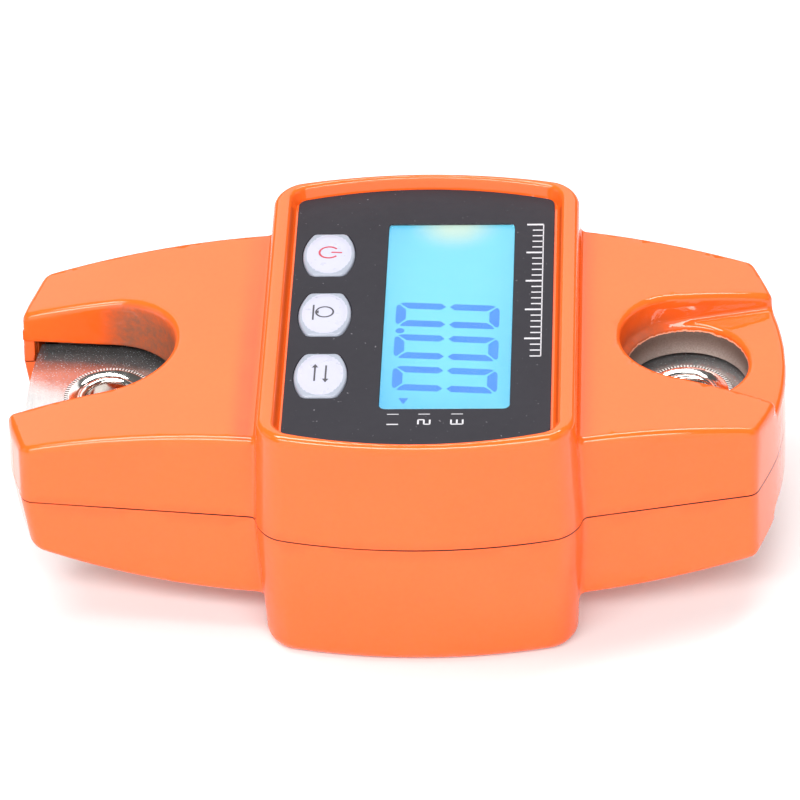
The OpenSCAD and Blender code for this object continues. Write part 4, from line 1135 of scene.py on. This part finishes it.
for nm, cx, top in (("upper_eye_bushing_front", EYE_R_X, True), ("upper_eye_bushing_back", EYE_R_X, False),
                    ("lower_eye_bushing_front", EYE_L_X, True), ("lower_eye_bushing_back", EYE_L_X, False)):
    o = bushing_mesh(nm + "_knurled", cx, top)
    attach(o, "housing"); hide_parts(nm)

# ------------------------------------------------------------------ battery door
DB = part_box("battery_door")
M_DOOR = simple("door_plastic", (0.032, 0.032, 0.035), 0.5, 0.0, 0.08, 260, 0.07, 700, 0.45, 2600, 0.0001)
NODES["battery_door"].data.materials.clear()
NODES["battery_door"].data.materials.append(M_DOOR)

# ------------------------------------------------------------------ camera, floor and light
TARGET = Vector(place((0, 0, 0)))


def camera():
    az, el, roll, dist = math.radians(2.854), math.radians(36.3), math.radians(-1.987), 1.2232
    f_px, u0, v0 = 5991.0, 424.5, 408.4
    back = Vector((math.sin(az) * math.cos(el), -math.cos(az) * math.cos(el), math.sin(el)))
    right = Vector((math.cos(az), math.sin(az), 0))
    up = right.cross(back) * -1.0
    up = back.cross(right)
    # picture content is turned by roll: turn the camera the other way
    r2 = right * math.cos(roll) - up * math.sin(roll) * -1.0
    c, s = math.cos(roll), math.sin(roll)
    rx = right * c + up * s
    ry = up * c - right * s
    cam = bpy.data.cameras.new("cam")
    cam.sensor_width = 36.0
    cam.lens = 36.0 * f_px / 800.0
    cam.shift_x = (400.0 - u0) / 800.0
    cam.shift_y = (v0 - 400.0) / 800.0
    cam.clip_start, cam.clip_end = 0.05, 20
    o = bpy.data.objects.new("cam", cam)
    bpy.context.scene.collection.objects.link(o)
    rot = Matrix((rx, ry, back)).transposed()
    o.matrix_world = Matrix.Translation(TARGET + back * dist) @ rot.to_4x4()
    bpy.context.scene.camera = o


camera()

me = bpy.data.meshes.new("floor")
S = 3.0
me.from_pydata([(-S, -S, 0), (S, -S, 0), (S, S, 0), (-S, S, 0)], [], [(0, 1, 2, 3)])
floor = bpy.data.objects.new("floor", me)
bpy.context.scene.collection.objects.link(floor)
mf, ntf, bf = new_mat("floor_pale")
fv = obj_coord(ntf)
ntf.links.new(mixc(ntf, ramp(ntf, noise(ntf, fv, 3.0), 0.3, 0.7), (0.69, 0.69, 0.69), (0.71, 0.71, 0.71)), bf.inputs["Base Color"])
bf.inputs["Roughness"].default_value = 0.7
bf.inputs["Specular IOR Level"].default_value = 0.15
bf.inputs["Emission Color"].default_value = (1, 1, 1, 1)
bf.inputs["Emission Strength"].default_value = 0.14
me.materials.append(mf)

world = bpy.data.worlds.new("studio")
bpy.context.scene.world = world
world.use_nodes = True
bg = world.node_tree.nodes["Background"]
bg.inputs["Color"].default_value = (1, 1, 1, 1)
bg.inputs["Strength"].default_value = 0.12


def area(name, loc, target, sx, sy, power, color=(1, 1, 1)):
    l = bpy.data.lights.new(name, "AREA")
    l.shape = "RECTANGLE"
    l.size, l.size_y = sx, sy
    l.energy = power
    l.color = color
    o = bpy.data.objects.new(name, l)
    bpy.context.scene.collection.objects.link(o)
    o.location = loc
    o.rotation_mode = "QUATERNION"
    o.rotation_quaternion = (Vector(target) - Vector(loc)).to_track_quat("-Z", "Y")
    return o


def box_light(name, loc, sx, sy, radiance):
    area(name, loc, (0, 0, 0.02), sx, sy, 4 * sx * sy * radiance)


# two long boxes over the object draw the paired thin highlights on the eased edges
box_light("box_far", (-0.1, 0.18, 1.25), 1.6, 0.30, 9.5)
box_light("box_near", (-0.1, -0.86, 0.95), 1.6, 0.30, 9.5)
box_light("back_card", (0.0, 2.0, 1.45), 3.2, 1.4, 1.1)
box_light("front_soft", (0.0, -2.0, 0.6), 3.0, 1.2, 1.1)
box_light("left_soft", (-1.5, -0.1, 0.45), 0.8, 0.8, 0.5)
box_light("right_soft", (1.5, -0.1, 0.45), 0.8, 0.8, 0.5)

sc = bpy.context.scene
sc.view_settings.view_transform = "Standard"
sc.view_settings.look = "None"
sc.view_settings.exposure = 0.0
sc.view_settings.gamma = 1.0

bpy.context.view_layer.update()
